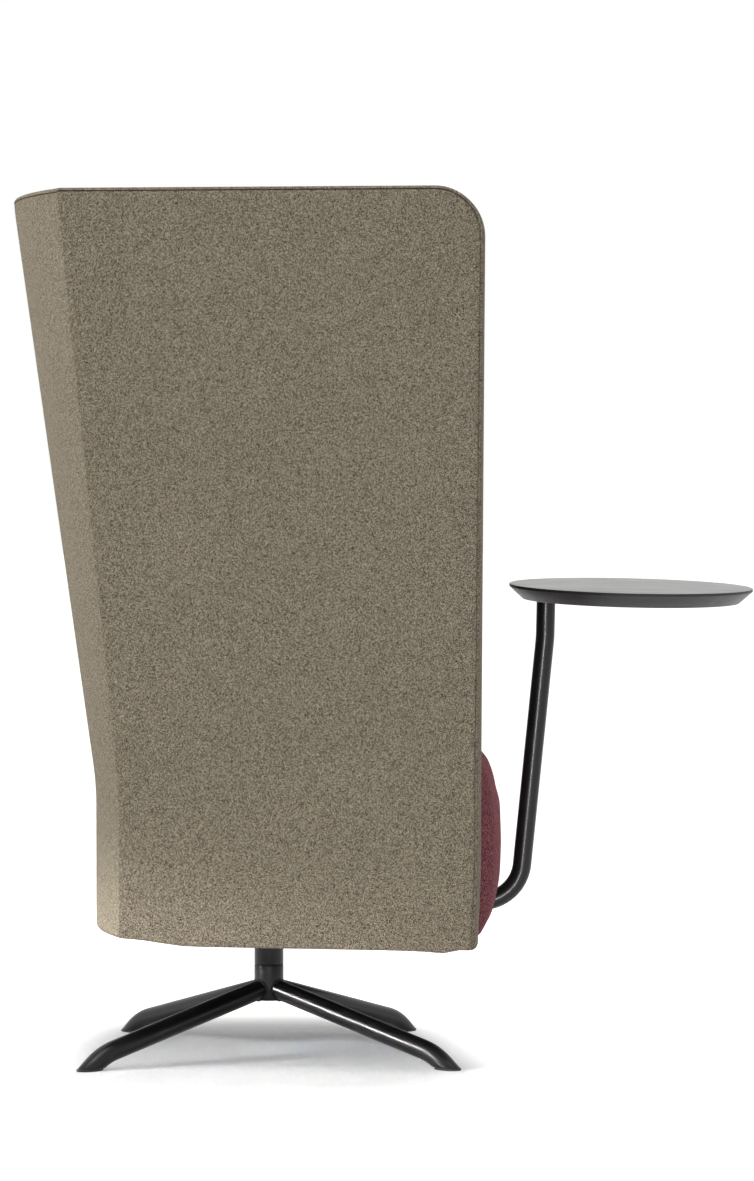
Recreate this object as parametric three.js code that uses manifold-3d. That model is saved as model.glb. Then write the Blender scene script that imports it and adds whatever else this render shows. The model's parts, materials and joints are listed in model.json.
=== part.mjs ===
// Acoustic high back lounge chair: a flared, creased shell of three padded walls round an upholstered
// seat, on a four leg tubular swivel base, with a round tablet on a bent tube arm at the sitter's left.
// Millimetres. +Z is up, +X is the way the sitter faces, +Y is the sitter's left.
// The walls are lofts between plans: planAt gives the outer outline at a height, and every layer of a wall
// is a band of that outline between two depths, measured inwards from the outer face.

import * as THREE from "three";
import { mergeVertices } from "three/addons/utils/BufferGeometryUtils.js";
import Module from "manifold-3d";

const wasm = await Module();
wasm.setup();

// Clearances

const fitGap = 0.3; // between two rigid pieces that touch
const softGap = 0.6; // between padding and its neighbour
const overrun = 5; // how far a cutter runs past what it cuts
const weldDistance = 0.001; // vertices closer than this are one

// Shell: outer outline in plan, from the column axis

const shellBottom = 176; // lower edge above the floor
const creaseHeight = 390; // below it the walls stand upright, above it they lean out
const creaseBlend = 30; // half height of the rounding at the crease
const shellTop = 1229;
const lowFrontReach = 288; // column axis to the wings' front edge at and below the crease
const lowFrontHalf = 318; // half width over the wings' front edges there
const lowSeamReach = 209; // column axis back to the corner seam there
const lowSeamHalf = 215;
const lowBackReach = 249; // column axis back to the middle of the back there
const topFrontReach = 295;
const topFrontHalf = 353;
const topSeamReach = 292;
const topSeamHalf = 285;
const topBackReach = 367;
const wingCornerRadius = 69; // front top corner of a wing, seen from the side
const outerEdgeRadius = 6;
const innerEdgeRadius = 16;
const edgeReveal = 6; // the outer panel stops this far inside the wall's front and top edges

// Shell: layers from the outer face inwards

const coverThickness = 4;
const coreThickness = 12;
const wallThickness = 48;
const bracketThickness = 3;
const bracketSeat = 0.5; // gap between a bracket and the cores it joins
const bracketLeg = 40;
const bracketHeight = 60;
const bracketLowHeight = 520; // middle of the lower corner brackets
const bracketHighHeight = 1050;

// Seat frame

const railRise = 4; // rails above the shell's lower edge
const railHeight = 46;
const railThickness = 20;
const padLip = 26; // padding that wraps the wings' front edge below the seat
const boardThickness = 18;
const clothThickness = 1.2;
const clothHoleRadius = 32;

// Seat cushion

const cushionLift = 6; // bottom edge of the seat front above the shell's lower edge
const seatEdgeHeight = 447; // where the seat's sides close, below its crown
const seatCrown = 7;
const seatFrontReach = 333.5; // column axis to the most forward line of the seat front
const seatBulge = 45; // how far the seat front rounds back towards its edges
const seatSideRound = 12;
const seatCornerRadius = 36;
const seatFrontBow = 14; // the seat front is this much further forward in the middle

// Back cushion

const backCushionHeight = 550;
const backCushionThickness = 78;
const backCushionEdge = 26;
const backCushionSideGap = 4;

// Base

const tubeDiameter = 28;
const tubeWall = 2.5;
const legReach = 348; // column axis to the tip of a foot
const footSlope = 40; // degrees below level
const footRise = 20.3; // corner between the leg's run and its foot, above the floor
const legBendRadius = 95;
const legRootHeight = 96.5; // the leg's centreline at the column axis
const nearLegAngle = 39.4; // degrees from the chair's centreline, sitter's right
const farLegAngle = 50.8; // sitter's left
const glideHeight = 3;
const glidePlugLength = 14;
const glidePlugSlack = 1; // radial room of the plug in the bent tube

// Column

const hubDiameter = 40;
const hubWall = 3;
const hubBottom = 75;
const hubLength = 49.5;
const hubCapThickness = 2;
const hubCapPlug = 8;
const spindleDiameter = 24;
const collarLength = 34;
const thrustWasherThickness = 2;
const bushLength = 18;
const lowBushRise = 3; // above the sleeve's lower end
const retainerThickness = 3;
const retainerRadius = 15.5;
const spindleHeadRoom = 9; // spindle end below the seat plate
const retainerHeadRadius = 8;
const retainerHeadHeight = 4.5;
const retainerShankRadius = 4;
const retainerShankLength = 20;
const plateSide = 200;
const plateThickness = 5;
const plateCornerRadius = 12;
const plateBoltPitch = 160;
const boltRadius = 4;
const boltHeadRadius = 6.5;
const boltHeadHeight = 5;
const boltGrip = 14; // thread length in the board

// Tablet arm

const armSide = 200; // column axis to the arm's lower run, on the sitter's left
const armDrop = 26; // lower run's axis below the seat board
const armRunStart = 60; // column axis forward to the run's rear end
const armRunReach = 372.5; // column axis forward to the corner between run and post
const armBendRadius = 61;
const armKinkRise = 395; // run's axis up to the slight bend near the top
const armKinkReach = 411.2;
const armKinkRadius = 200;
const armTopRise = 449.5;
const armTopReach = 412.3;
const armRoll = 2.6; // degrees that the post leans in towards the sitter
const clampWidth = 46;
const clampLength = 36;
const clampBelow = 16; // clamp block below the run's axis
const clampFrontReach = 218;
const clampRearReach = 96;
const clampBoltRadius = 3;
const clampBoltHeadRadius = 5;
const clampBoltHeadHeight = 3.5;
const clampBoltGrip = 12;
const clampBoltInset = 5.5; // bolt axis in from the side of the block
const armPlugFlange = 2;
const armPlugLength = 16;

// Tablet

const tabletopRadius = 181;
const tabletopThickness = 22;
const tabletopRim = 4;
const tabletopUndercut = 20;
const tabletopRimRound = 1;
const tabletopOffset = 126; // post axis to the tabletop's centre
const bushFlange = 2;
const bushSpigot = 22;
const pivotRadius = 7;
const pivotLength = 26;
const tablePlateRadius = 31;
const tablePlateThickness = 4; // let into the tabletop's underside
const tablePlateProud = 0.3; // below the tabletop's underside
const tableScrewCircle = 21;
const tableScrewCount = 3;
const tableScrewRadius = 2.5;
const tableScrewHeadRadius = 4.5;
const tableScrewHeadHeight = 1.6;
const tableScrewGrip = 12;

// Counts and shares

const tubeSides = 16;
const roundSides = 24;
const discSides = 64;
const legBendSteps = 3;
const armBendSteps = 9;
const kinkSteps = 2;
const leanLevels = 6;
const cornerSteps = 6;
const edgeSteps = 3;
const backDivisions = 12;
const bracketBackShare = 0.8; // of one division of the back
const bulgePower = 2.6;
const creaseShares = [-1, -0.5, 0, 0.5, 1];
const seatLevelShares = [-1, -0.94, -0.75, -0.4, 0, 0.4, 0.68, 0.86, 0.96, 1];
const seatCrownShares = [0.86, 0.6, 0.3];
const seatRearShares = [0.2, 0.6, 1];
const seatSideShares = [0.5, 1];
const seatRoundShares = [1 / 3, 2 / 3, 1];
const seatFaceShares = [0.6, 0.2];
const backLevelShares = [-1, -0.95, -0.82, -0.6, -0.3, 0, 0.3, 0.6, 0.82, 0.95, 1];
const backAcrossShares = [-1, -0.93, -0.75, -0.4, 0, 0.4, 0.75, 0.93, 1];

// Places worked out from the sizes above

const radians = THREE.MathUtils.degToRad;
const shoulderHeight = shellTop - wingCornerRadius;
const bracketHeights = [bracketLowHeight, bracketHighHeight];
const coreDepth = coverThickness + fitGap;
const padDepth = coreDepth + coreThickness + fitGap;
const railBottom = shellBottom + railRise;
const railTop = railBottom + railHeight;
const boardBottom = railTop + fitGap;
const boardTop = boardBottom + boardThickness;
const seatBottom = shellBottom + cushionLift;
const plateBottom = boardBottom - fitGap - plateThickness;
const hubTop = hubBottom + hubLength;
const hubInner = hubDiameter / 2 - hubWall;
const washerBottom = hubTop + fitGap;
const sleeveBottom = washerBottom + thrustWasherThickness + fitGap;
const sleeveTop = plateBottom - fitGap;
const spindleTop = plateBottom - spindleHeadRoom;
const armHeight = boardBottom - armDrop;
const tubeRadius = tubeDiameter / 2;
const tubeBore = tubeRadius - tubeWall;

// Solids and meshes

// A closed three.js geometry as a manifold solid.
function toSolid(geometry) {
  const bare = geometry.clone();
  bare.deleteAttribute("normal");
  bare.deleteAttribute("uv");
  const merged = mergeVertices(bare, weldDistance);
  return new wasm.Manifold(
    new wasm.Mesh({
      numProp: 3,
      vertProperties: new Float32Array(merged.attributes.position.array),
      triVerts: new Uint32Array(merged.index.array),
    }),
  );
}

// A manifold solid as a three.js geometry with flat faces.
function toGeometry(solid) {
  const { vertProperties, triVerts } = solid.getMesh();
  const shared = new THREE.BufferGeometry();
  shared.setAttribute("position", new THREE.BufferAttribute(vertProperties, 3));
  shared.setIndex(new THREE.BufferAttribute(triVerts, 1));
  const flat = shared.toNonIndexed();
  flat.computeVertexNormals();
  return flat;
}

function cut(body, ...cutters) {
  return cutters.reduce((rest, cutter) => rest.subtract(toSolid(cutter)), toSolid(body));
}

function fuse(first, ...others) {
  return others.reduce((whole, other) => whole.add(toSolid(other)), toSolid(first));
}

// Closed geometry through rings of points. A ring runs anticlockwise seen from the last ring, and its point
// i faces point (count - 1 - i), so the ends close as strips of quads across the ring. Both halves of a
// ring split their quads along the same line in space, so nested layers keep an even gap.
function loft(rings) {
  const count = rings[0].length;
  const last = (rings.length - 1) * count;
  const index = [];
  for (let level = 0; level < rings.length - 1; level++) {
    for (let i = 0; i < count; i++) {
      const a = level * count + i;
      const b = level * count + ((i + 1) % count);
      const [c, d] = [b + count, a + count];
      if (i < count / 2) index.push(a, b, c, a, c, d);
      else index.push(a, b, d, b, c, d);
    }
  }
  for (let i = 0; i < count / 2 - 1; i++) {
    const j = count - 1 - i;
    index.push(i, j, j - 1, i, j - 1, i + 1);
    index.push(last + i, last + i + 1, last + j - 1, last + i, last + j - 1, last + j);
  }
  const geometry = new THREE.BufferGeometry();
  const positions = rings.flat().flatMap((point) => [point.x, point.y, point.z]);
  geometry.setAttribute("position", new THREE.Float32BufferAttribute(positions, 3));
  geometry.setIndex(index);
  return geometry;
}

// The same geometry on the sitter's other side.
function mirrored(geometry) {
  const copy = geometry.index ? geometry.toNonIndexed() : geometry.clone();
  const position = copy.attributes.position;
  for (let i = 0; i < position.count; i += 3) {
    const [a, b, c] = [0, 1, 2].map((k) => new THREE.Vector3().fromBufferAttribute(position, i + k));
    [a, c, b].forEach((point, k) => position.setXYZ(i + k, point.x, -point.y, point.z));
  }
  copy.computeVertexNormals();
  return copy;
}

function circle(radius) {
  return new THREE.Shape().absarc(0, 0, radius, 0, 2 * Math.PI, false);
}

// A straight round bar or tube standing on z = bottom.
function roundBar(radius, bottom, height, bore = 0, sides = roundSides) {
  const shape = circle(radius);
  if (bore > 0) shape.holes.push(new THREE.Path().absarc(0, 0, bore, 0, 2 * Math.PI, true));
  const geometry = new THREE.ExtrudeGeometry(shape, {
    depth: height,
    bevelEnabled: false,
    curveSegments: sides / 2,
  });
  return geometry.translate(0, 0, bottom);
}

function block(width, depth, height, x, y, bottom) {
  return new THREE.BoxGeometry(width, depth, height).translate(x, y, bottom + height / 2);
}

// A solid turned about the z axis from a profile of [radius, height] pairs listed from bottom to top.
function revolve(profile, sides) {
  const points = profile.map(([radius, height]) => new THREE.Vector2(radius, height));
  return new THREE.LatheGeometry(points, sides).rotateX(Math.PI / 2);
}

// A screw whose head hangs below z = 0 and whose shank rises above it.
function screw(headRadius, headHeight, shankRadius, shankLength) {
  const profile = [
    [0, -headHeight],
    [headRadius, -headHeight],
    [headRadius, 0],
    [shankRadius, 0],
    [shankRadius, shankLength],
    [0, shankLength],
  ];
  return revolve(profile, roundSides / 2);
}

// Bent tubes

// A centreline whose parameter counts stations, so that an extrusion's steps fall where the tube turns.
class StationCurve extends THREE.Curve {
  constructor(stations) {
    super();
    this.stations = stations;
  }

  mix(key, t) {
    const place = t * (this.stations.length - 1);
    const i = Math.min(Math.floor(place), this.stations.length - 2);
    return new THREE.Vector3().lerpVectors(this.stations[i][key], this.stations[i + 1][key], place - i);
  }

  getPoint(t, target = new THREE.Vector3()) {
    return target.copy(this.mix("point", t));
  }

  getTangent(t, target = new THREE.Vector3()) {
    return target.copy(this.mix("tangent", t)).normalize();
  }

  getUtoTmapping(u) {
    return u;
  }
}

// Stations along straight runs between corners, each corner rounded to its radius in its number of steps.
function bentStations(corners, radii, steps) {
  const heading = (i) => corners[i + 1].clone().sub(corners[i]).normalize();
  const stations = [{ point: corners[0], tangent: heading(0) }];
  for (let i = 1; i < corners.length - 1; i++) {
    const [before, after] = [heading(i - 1), heading(i)];
    const turn = before.angleTo(after);
    const radius = radii[i - 1];
    const start = corners[i].clone().addScaledVector(before, -radius * Math.tan(turn / 2));
    const inward = after.clone().addScaledVector(before, -after.dot(before)).normalize();
    for (let k = 0; k <= steps[i - 1]; k++) {
      const angle = (turn * k) / steps[i - 1];
      const point = start
        .clone()
        .addScaledVector(before, radius * Math.sin(angle))
        .addScaledVector(inward, radius * (1 - Math.cos(angle)));
      const tangent = before
        .clone()
        .multiplyScalar(Math.cos(angle))
        .addScaledVector(inward, Math.sin(angle));
      stations.push({ point, tangent });
    }
  }
  stations.push({ point: corners.at(-1), tangent: heading(corners.length - 2) });
  return stations;
}

function bentTube(radius, bore, stations) {
  const shape = circle(radius);
  if (bore > 0) shape.holes.push(new THREE.Path().absarc(0, 0, bore, 0, 2 * Math.PI, true));
  return new THREE.ExtrudeGeometry(shape, {
    steps: stations.length - 1,
    curveSegments: tubeSides / 2,
    extrudePath: new StationCurve(stations),
  });
}

// Shell outline

// How far up the leaning part a height is, from 0 at the crease to 1 at the top, rounded at the crease.
function leanShare(height) {
  const rise = height - creaseHeight;
  const full = shellTop - creaseHeight;
  if (rise <= -creaseBlend) return 0;
  if (rise >= creaseBlend) return rise / full;
  return (rise + creaseBlend) ** 2 / (4 * creaseBlend) / full;
}

// Outer outline at a height: front edge, corner seam, and the back's circle, on the sitter's right.
function planAt(height) {
  const share = leanShare(height);
  const front = new THREE.Vector2(lowFrontReach, -lowFrontHalf).lerp(
    new THREE.Vector2(topFrontReach, -topFrontHalf),
    share,
  );
  const seam = new THREE.Vector2(-lowSeamReach, -lowSeamHalf).lerp(
    new THREE.Vector2(-topSeamReach, -topSeamHalf),
    share,
  );
  const backReach = THREE.MathUtils.lerp(lowBackReach, topBackReach, share);
  const sagitta = backReach + seam.x;
  const backRadius = (seam.y ** 2 + sagitta ** 2) / (2 * sagitta);
  const along = front.clone().sub(seam).normalize();
  const inward = new THREE.Vector2(-along.y, along.x);
  return { front, seam, along, inward, backRadius, backCentre: backRadius - backReach };
}

// A point beside a wing: so far forward of the seam along the wall, and so deep inside its outer face.
function besideWing(plan, forward, depth) {
  return plan.seam.clone().addScaledVector(plan.along, forward).addScaledVector(plan.inward, depth);
}

// How far forward of the seam the wing's face at one depth meets the back's face at another.
function cornerForward(plan, wingDepth, backDepth) {
  const offset = besideWing(plan, 0, wingDepth).sub(new THREE.Vector2(plan.backCentre, 0));
  const half = offset.dot(plan.along);
  const reach = plan.backRadius - backDepth;
  return -half - Math.sqrt(half ** 2 - offset.lengthSq() + reach ** 2);
}

// The same meeting as an angle from straight back, seen from the centre of the back's circle.
function cornerAngle(plan, wingDepth, backDepth) {
  const meeting = besideWing(plan, cornerForward(plan, wingDepth, backDepth), wingDepth);
  return Math.atan2(-meeting.y, plan.backCentre - meeting.x);
}

function behindBack(plan, angle, depth) {
  const reach = plan.backRadius - depth;
  return new THREE.Vector2(plan.backCentre - reach * Math.cos(angle), -reach * Math.sin(angle));
}

// How far forward of the seam a wing's front edge lies, the front top corner being round.
function wingEnd(plan, height, inset) {
  const reach = wingCornerRadius - inset;
  const above = Math.max(0, height - shoulderHeight);
  const frontX = plan.front.x - wingCornerRadius + Math.sqrt(Math.max(0, reach ** 2 - above ** 2));
  return (frontX - plan.seam.x) / plan.along.x;
}

// Heights of a wall's rings up to its top edge, which lies inset below the shell's. The brackets' edges are
// among them, so that the brackets lie flat on the cores.
function wallHeights(bottom, inset) {
  const crease = creaseShares.map((share) => creaseHeight + share * creaseBlend);
  const lean = shoulderHeight - creaseHeight - creaseBlend;
  const straight = Array.from(
    { length: leanLevels },
    (_, k) => creaseHeight + creaseBlend + (lean * (k + 1)) / leanLevels,
  );
  const corner = Array.from({ length: cornerSteps }, (_, k) => {
    const angle = (Math.PI / 2) * ((k + 1) / cornerSteps);
    return shoulderHeight + (wingCornerRadius - inset) * Math.sin(angle);
  });
  const edges = bracketHeights.flatMap((middle) => [
    middle - bracketHeight / 2,
    middle + bracketHeight / 2,
  ]);
  return [bottom, ...crease, ...straight, ...edges, ...corner].sort((a, b) => a - b);
}

// How far a wall's rounded top edge draws in at a height.
function topRound(height, radius) {
  const above = Math.min(radius, Math.max(0, height - (shellTop - radius)));
  return radius - Math.sqrt(radius ** 2 - above ** 2);
}

// A band of the right wing between two depths. Its front end stops inset inside the front edge, rounded
// there where the band is the whole wall, or at the share of the wall given by a fixed length.
function wingBand({ from, to, heights, inset = 0, rounded = false, gap = 0, length = null }) {
  const [outerRadius, innerRadius] = rounded ? [outerEdgeRadius, innerEdgeRadius] : [0, 0];
  const steps = rounded ? edgeSteps : 0;
  const rings = heights.map((height) => {
    const plan = planAt(height);
    const outerDepth = from + topRound(height, outerRadius);
    const innerDepth = to - topRound(height, innerRadius);
    const end = length ?? wingEnd(plan, height, inset);
    const middle = wingEnd(plan, shellBottom, 0) / 2;
    const outer = [besideWing(plan, cornerForward(plan, outerDepth, outerDepth) + gap, outerDepth)];
    const inner = [besideWing(plan, cornerForward(plan, innerDepth, innerDepth) + gap, innerDepth)];
    if (length === null) {
      outer.push(besideWing(plan, middle, outerDepth));
      inner.push(besideWing(plan, middle, innerDepth));
    }
    for (let k = 0; k <= steps; k++) {
      const turn = steps > 0 ? (Math.PI / 2) * (k / steps) : Math.PI / 2;
      const back = 1 - Math.sin(turn);
      const draw = 1 - Math.cos(turn);
      outer.push(besideWing(plan, end - outerRadius * back, outerDepth + outerRadius * draw));
      inner.push(besideWing(plan, end - innerRadius * back, innerDepth - innerRadius * draw));
    }
    return [...outer, ...inner.reverse()].map((p) => new THREE.Vector3(p.x, p.y, height));
  });
  return loft(rings);
}

// A band of the back between two depths, from corner to corner, or only a share of its last division.
function backBand({ from, to, heights, rounded = false, gap = 0, lastShare = null }) {
  const [outerRadius, innerRadius] = rounded ? [outerEdgeRadius, innerEdgeRadius] : [0, 0];
  const rings = heights.map((height) => {
    const plan = planAt(height);
    const face = (depth) => {
      const corner = cornerAngle(plan, depth, depth) - gap / plan.backRadius;
      const points = Array.from({ length: backDivisions + 1 }, (_, k) =>
        behindBack(plan, corner * ((2 * k) / backDivisions - 1), depth),
      );
      if (lastShare === null) return points;
      const [before, last] = points.slice(-2);
      return [last.clone().lerp(before, lastShare), last];
    };
    const outer = face(from + topRound(height, outerRadius));
    const inner = face(to - topRound(height, innerRadius));
    return [...outer, ...inner.reverse()].map((p) => new THREE.Vector3(p.x, p.y, height));
  });
  return loft(rings);
}

// Finishes

function finish(name, colour, roughness, metalness) {
  return new THREE.MeshStandardMaterial({ name, color: colour, roughness, metalness });
}

const shellFabric = finish("shell_fabric", 0x7f7466, 0.95, 0);
const seatFabric = finish("seat_fabric", 0x74404a, 0.95, 0);
const paintedSteel = finish("painted_steel", 0x2c2b2b, 0.42, 0.6);
const zincSteel = finish("zinc_steel", 0xa9adb0, 0.38, 1);
const blackNylon = finish("black_nylon", 0x161616, 0.55, 0);
const plywood = finish("plywood", 0xb98f5e, 0.7, 0);
const baseClothFinish = finish("base_cloth", 0x1d1d1f, 1, 0);
const tableFinish = finish("table_laminate", 0x9d9d9d, 0.5, 0);

const chair = new THREE.Group();
chair.name = "acoustic_lounge_chair";

function addPiece(parent, name, shape, material) {
  const geometry = shape instanceof THREE.BufferGeometry ? shape : toGeometry(shape);
  const mesh = new THREE.Mesh(geometry, material);
  mesh.name = name;
  parent.add(mesh);
  return mesh;
}

// Legs and glides, each made along +X and turned to its angle

const legs = [
  { place: "front_right", angle: -nearLegAngle },
  { place: "front_left", angle: farLegAngle },
  { place: "rear_left", angle: 180 - farLegAngle },
  { place: "rear_right", angle: nearLegAngle - 180 },
];

const footFall = Math.tan(radians(footSlope));
const footCentre = legReach - tubeRadius / Math.sin(radians(footSlope));

function legCorners() {
  const bendReach = footCentre - footRise / footFall;
  const slope = (legRootHeight - footRise) / bendReach;
  return [
    new THREE.Vector3(hubInner, 0, legRootHeight - hubInner * slope),
    new THREE.Vector3(bendReach, 0, footRise),
    new THREE.Vector3(footCentre + tubeDiameter / footFall, 0, -tubeDiameter),
  ];
}

// The wedge that keeps a leg clear of the neighbour that stands at an angle to it.
function legMitre(angle) {
  const side = Math.sign(angle);
  const slab = block(4 * hubDiameter, 2 * hubDiameter, 2 * legRootHeight, 0, 0, 0);
  slab.translate(0, side * (hubDiameter - fitGap / 2), 0);
  return slab.rotateZ(radians(angle / 2));
}

legs.forEach(({ place, angle }, i) => {
  const group = new THREE.Group();
  group.rotation.z = radians(angle);
  chair.add(group);
  const corners = legCorners();
  const stations = bentStations(corners, [legBendRadius], [legBendSteps]);
  const turns = [legs[(i + 1) % legs.length], legs[(i + legs.length - 1) % legs.length]].map(
    (neighbour) => THREE.MathUtils.euclideanModulo(neighbour.angle - angle + 180, 360) - 180,
  );
  const footBottom = glideHeight + fitGap;
  const floorCut = block(4 * legReach, legReach, legRootHeight, 0, 0, footBottom - legRootHeight);
  const hubCut = roundBar(hubDiameter / 2 + fitGap, 0, 2 * legRootHeight);
  const tube = cut(bentTube(tubeRadius, tubeBore, stations), floorCut, hubCut, ...turns.map(legMitre));
  addPiece(group, `leg_${place}`, tube, paintedSteel);

  const plugEnd = new THREE.Vector3(footCentre - glideHeight / 2 / footFall, 0, glideHeight / 2);
  const pad = roundBar(tubeRadius, 0, glideHeight).scale(1 / Math.sin(radians(footSlope)), 1, 1);
  pad.translate(plugEnd.x, 0, 0);
  const rise = new THREE.Vector3(-Math.cos(radians(footSlope)), 0, Math.sin(radians(footSlope)));
  const plugTop = plugEnd.clone().addScaledVector(rise, glidePlugLength);
  const plugStations = [plugEnd.clone().addScaledVector(rise, -tubeRadius / footFall), plugTop].map(
    (point) => ({ point, tangent: rise }),
  );
  const plug = cut(
    bentTube(tubeBore - glidePlugSlack, 0, plugStations),
    block(4 * legReach, legReach, legRootHeight, 0, 0, glideHeight / 2 - legRootHeight),
  );
  addPiece(group, `glide_${place}`, toSolid(pad).add(plug), blackNylon);
});

// Hub and swivel

const capBottom = hubBottom - fitGap - hubCapThickness;
const collarBottom = hubTop - collarLength;
const spindleBottom = collarBottom;
addPiece(chair, "hub_tube", roundBar(hubDiameter / 2, hubBottom, hubLength, hubInner), paintedSteel);
addPiece(
  chair,
  "hub_cap",
  fuse(
    roundBar(hubDiameter / 2, capBottom, hubCapThickness),
    roundBar(hubInner - fitGap, capBottom, hubCapThickness + hubCapPlug),
  ),
  blackNylon,
);
addPiece(
  chair,
  "spindle_collar",
  roundBar(hubInner - fitGap, collarBottom, collarLength, spindleDiameter / 2 + fitGap),
  zincSteel,
);
addPiece(
  chair,
  "spindle",
  cut(
    roundBar(spindleDiameter / 2, spindleBottom, spindleTop - spindleBottom),
    roundBar(retainerShankRadius + fitGap, spindleTop - retainerShankLength, retainerShankLength + overrun),
  ),
  zincSteel,
);
addPiece(
  chair,
  "thrust_washer",
  roundBar(hubDiameter / 2, washerBottom, thrustWasherThickness, spindleDiameter / 2 + fitGap),
  blackNylon,
);
const retainerBottom = spindleTop + fitGap;
addPiece(
  chair,
  "retaining_washer",
  roundBar(retainerRadius, retainerBottom, retainerThickness, retainerShankRadius + fitGap),
  zincSteel,
);
const retainerScrew = screw(
  retainerHeadRadius,
  retainerHeadHeight,
  retainerShankRadius,
  retainerShankLength - fitGap,
).rotateX(Math.PI);
addPiece(chair, "retaining_screw", retainerScrew, zincSteel).position.z =
  retainerBottom + retainerThickness + fitGap;

// Sleeve, bushes and seat plate, which turn with the seat

addPiece(
  chair,
  "column_sleeve",
  roundBar(hubDiameter / 2, sleeveBottom, sleeveTop - sleeveBottom, hubInner),
  paintedSteel,
);
const bushBore = spindleDiameter / 2 + fitGap;
const highBushBottom = retainerBottom - fitGap - bushLength;
[
  ["lower_bush", sleeveBottom + lowBushRise],
  ["upper_bush", highBushBottom],
].forEach(([name, bottom]) => {
  addPiece(chair, name, roundBar(hubInner - fitGap, bottom, bushLength, bushBore), blackNylon);
});

const boltPlaces = [
  ["front_left", 1, 1],
  ["front_right", 1, -1],
  ["rear_left", -1, 1],
  ["rear_right", -1, -1],
].map(([place, alongSign, acrossSign]) => ({
  place,
  x: (alongSign * plateBoltPitch) / 2,
  y: (acrossSign * plateBoltPitch) / 2,
}));

function seatPlate() {
  const half = plateSide / 2;
  const inner = half - plateCornerRadius;
  const shape = new THREE.Shape();
  shape.absarc(inner, inner, plateCornerRadius, 0, Math.PI / 2, false);
  shape.absarc(-inner, inner, plateCornerRadius, Math.PI / 2, Math.PI, false);
  shape.absarc(-inner, -inner, plateCornerRadius, Math.PI, 1.5 * Math.PI, false);
  shape.absarc(inner, -inner, plateCornerRadius, 1.5 * Math.PI, 2 * Math.PI, false);
  boltPlaces.forEach(({ x, y }) => {
    shape.holes.push(new THREE.Path().absarc(x, y, boltRadius + fitGap, 0, 2 * Math.PI, true));
  });
  shape.holes.push(new THREE.Path().absarc(0, 0, hubInner, 0, 2 * Math.PI, true));
  return new THREE.ExtrudeGeometry(shape, {
    depth: plateThickness,
    bevelEnabled: false,
    curveSegments: roundSides / 4,
  }).translate(0, 0, plateBottom);
}
addPiece(chair, "seat_plate", seatPlate(), paintedSteel);

boltPlaces.forEach(({ place, x, y }) => {
  const shank = plateThickness + 2 * fitGap + boltGrip;
  const bolt = addPiece(
    chair,
    `plate_bolt_${place}`,
    screw(boltHeadRadius, boltHeadHeight, boltRadius, shank),
    zincSteel,
  );
  bolt.position.set(x, y, plateBottom - fitGap);
});

// Seat frame: rails inside the walls, a board on them and a cloth under them

const railHeights = [railBottom, railTop];
const railEnd = wingEnd(planAt(railBottom), railBottom, 0) - padLip - softGap;
const sideRail = wingBand({
  from: padDepth,
  to: padDepth + railThickness,
  heights: railHeights,
  gap: fitGap,
  length: railEnd,
});
addPiece(chair, "rail_right", sideRail, plywood);
addPiece(chair, "rail_left", mirrored(sideRail), plywood);
addPiece(
  chair,
  "rail_rear",
  backBand({ from: padDepth, to: padDepth + railThickness, heights: railHeights, gap: fitGap }),
  plywood,
);

// Half width inside the wings at a place along the seat, at a depth in from their outer faces.
function halfWidthAt(x, depth, height) {
  const plan = planAt(height);
  const start = besideWing(plan, 0, depth);
  return -(start.y + (plan.along.y * (x - start.x)) / plan.along.x);
}

const railFront = besideWing(planAt(railBottom), railEnd, 0).x;
const railBack = railFront - railThickness;

function plateFrom(points, bottom, height) {
  const shape = new THREE.Shape(points.map(([x, y]) => new THREE.Vector2(x, y)));
  const geometry = new THREE.ExtrudeGeometry(shape, { depth: height, bevelEnabled: false });
  return geometry.translate(0, 0, bottom);
}

function alongX(radius, start, length) {
  return roundBar(radius, start, length, 0, tubeSides).rotateY(Math.PI / 2);
}

const railHalf = (x) => halfWidthAt(x, padDepth + railThickness + fitGap, railBottom);
const armNotchRadius = tubeRadius + fitGap;
addPiece(
  chair,
  "rail_front",
  cut(
    plateFrom(
      [
        [railBack, -railHalf(railBack)],
        [railFront, -railHalf(railFront)],
        [railFront, railHalf(railFront)],
        [railBack, railHalf(railBack)],
      ],
      railBottom,
      railHeight,
    ),
    alongX(armNotchRadius, railBack - overrun, railThickness + 2 * overrun).translate(0, armSide, armHeight),
  ),
  plywood,
);

const clampPlaces = [
  ["front", clampFrontReach],
  ["rear", clampRearReach],
].map(([place, x]) => ({ place, x }));
const clampBolts = clampPlaces.flatMap(({ place, x }) =>
  [
    ["inner", -1],
    ["outer", 1],
  ].map(([side, sign]) => ({
    name: `clamp_bolt_${place}_${side}`,
    x,
    y: armSide + sign * (clampWidth / 2 - clampBoltInset),
  })),
);

// Outline of a flat piece inside the walls at a depth, from the front rail's face round the back.
function floorOutline(depth, frontX) {
  const plan = planAt(railBottom);
  const corner = cornerAngle(plan, depth, depth);
  const arc = Array.from({ length: backDivisions + 1 }, (_, k) => {
    const point = behindBack(plan, corner - (2 * corner * k) / backDivisions, depth);
    return [point.x, point.y];
  });
  const half = halfWidthAt(frontX, depth, railBottom);
  return [[frontX, half], ...arc.map(([x, y]) => [x, -y]), [frontX, -half]];
}

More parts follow.
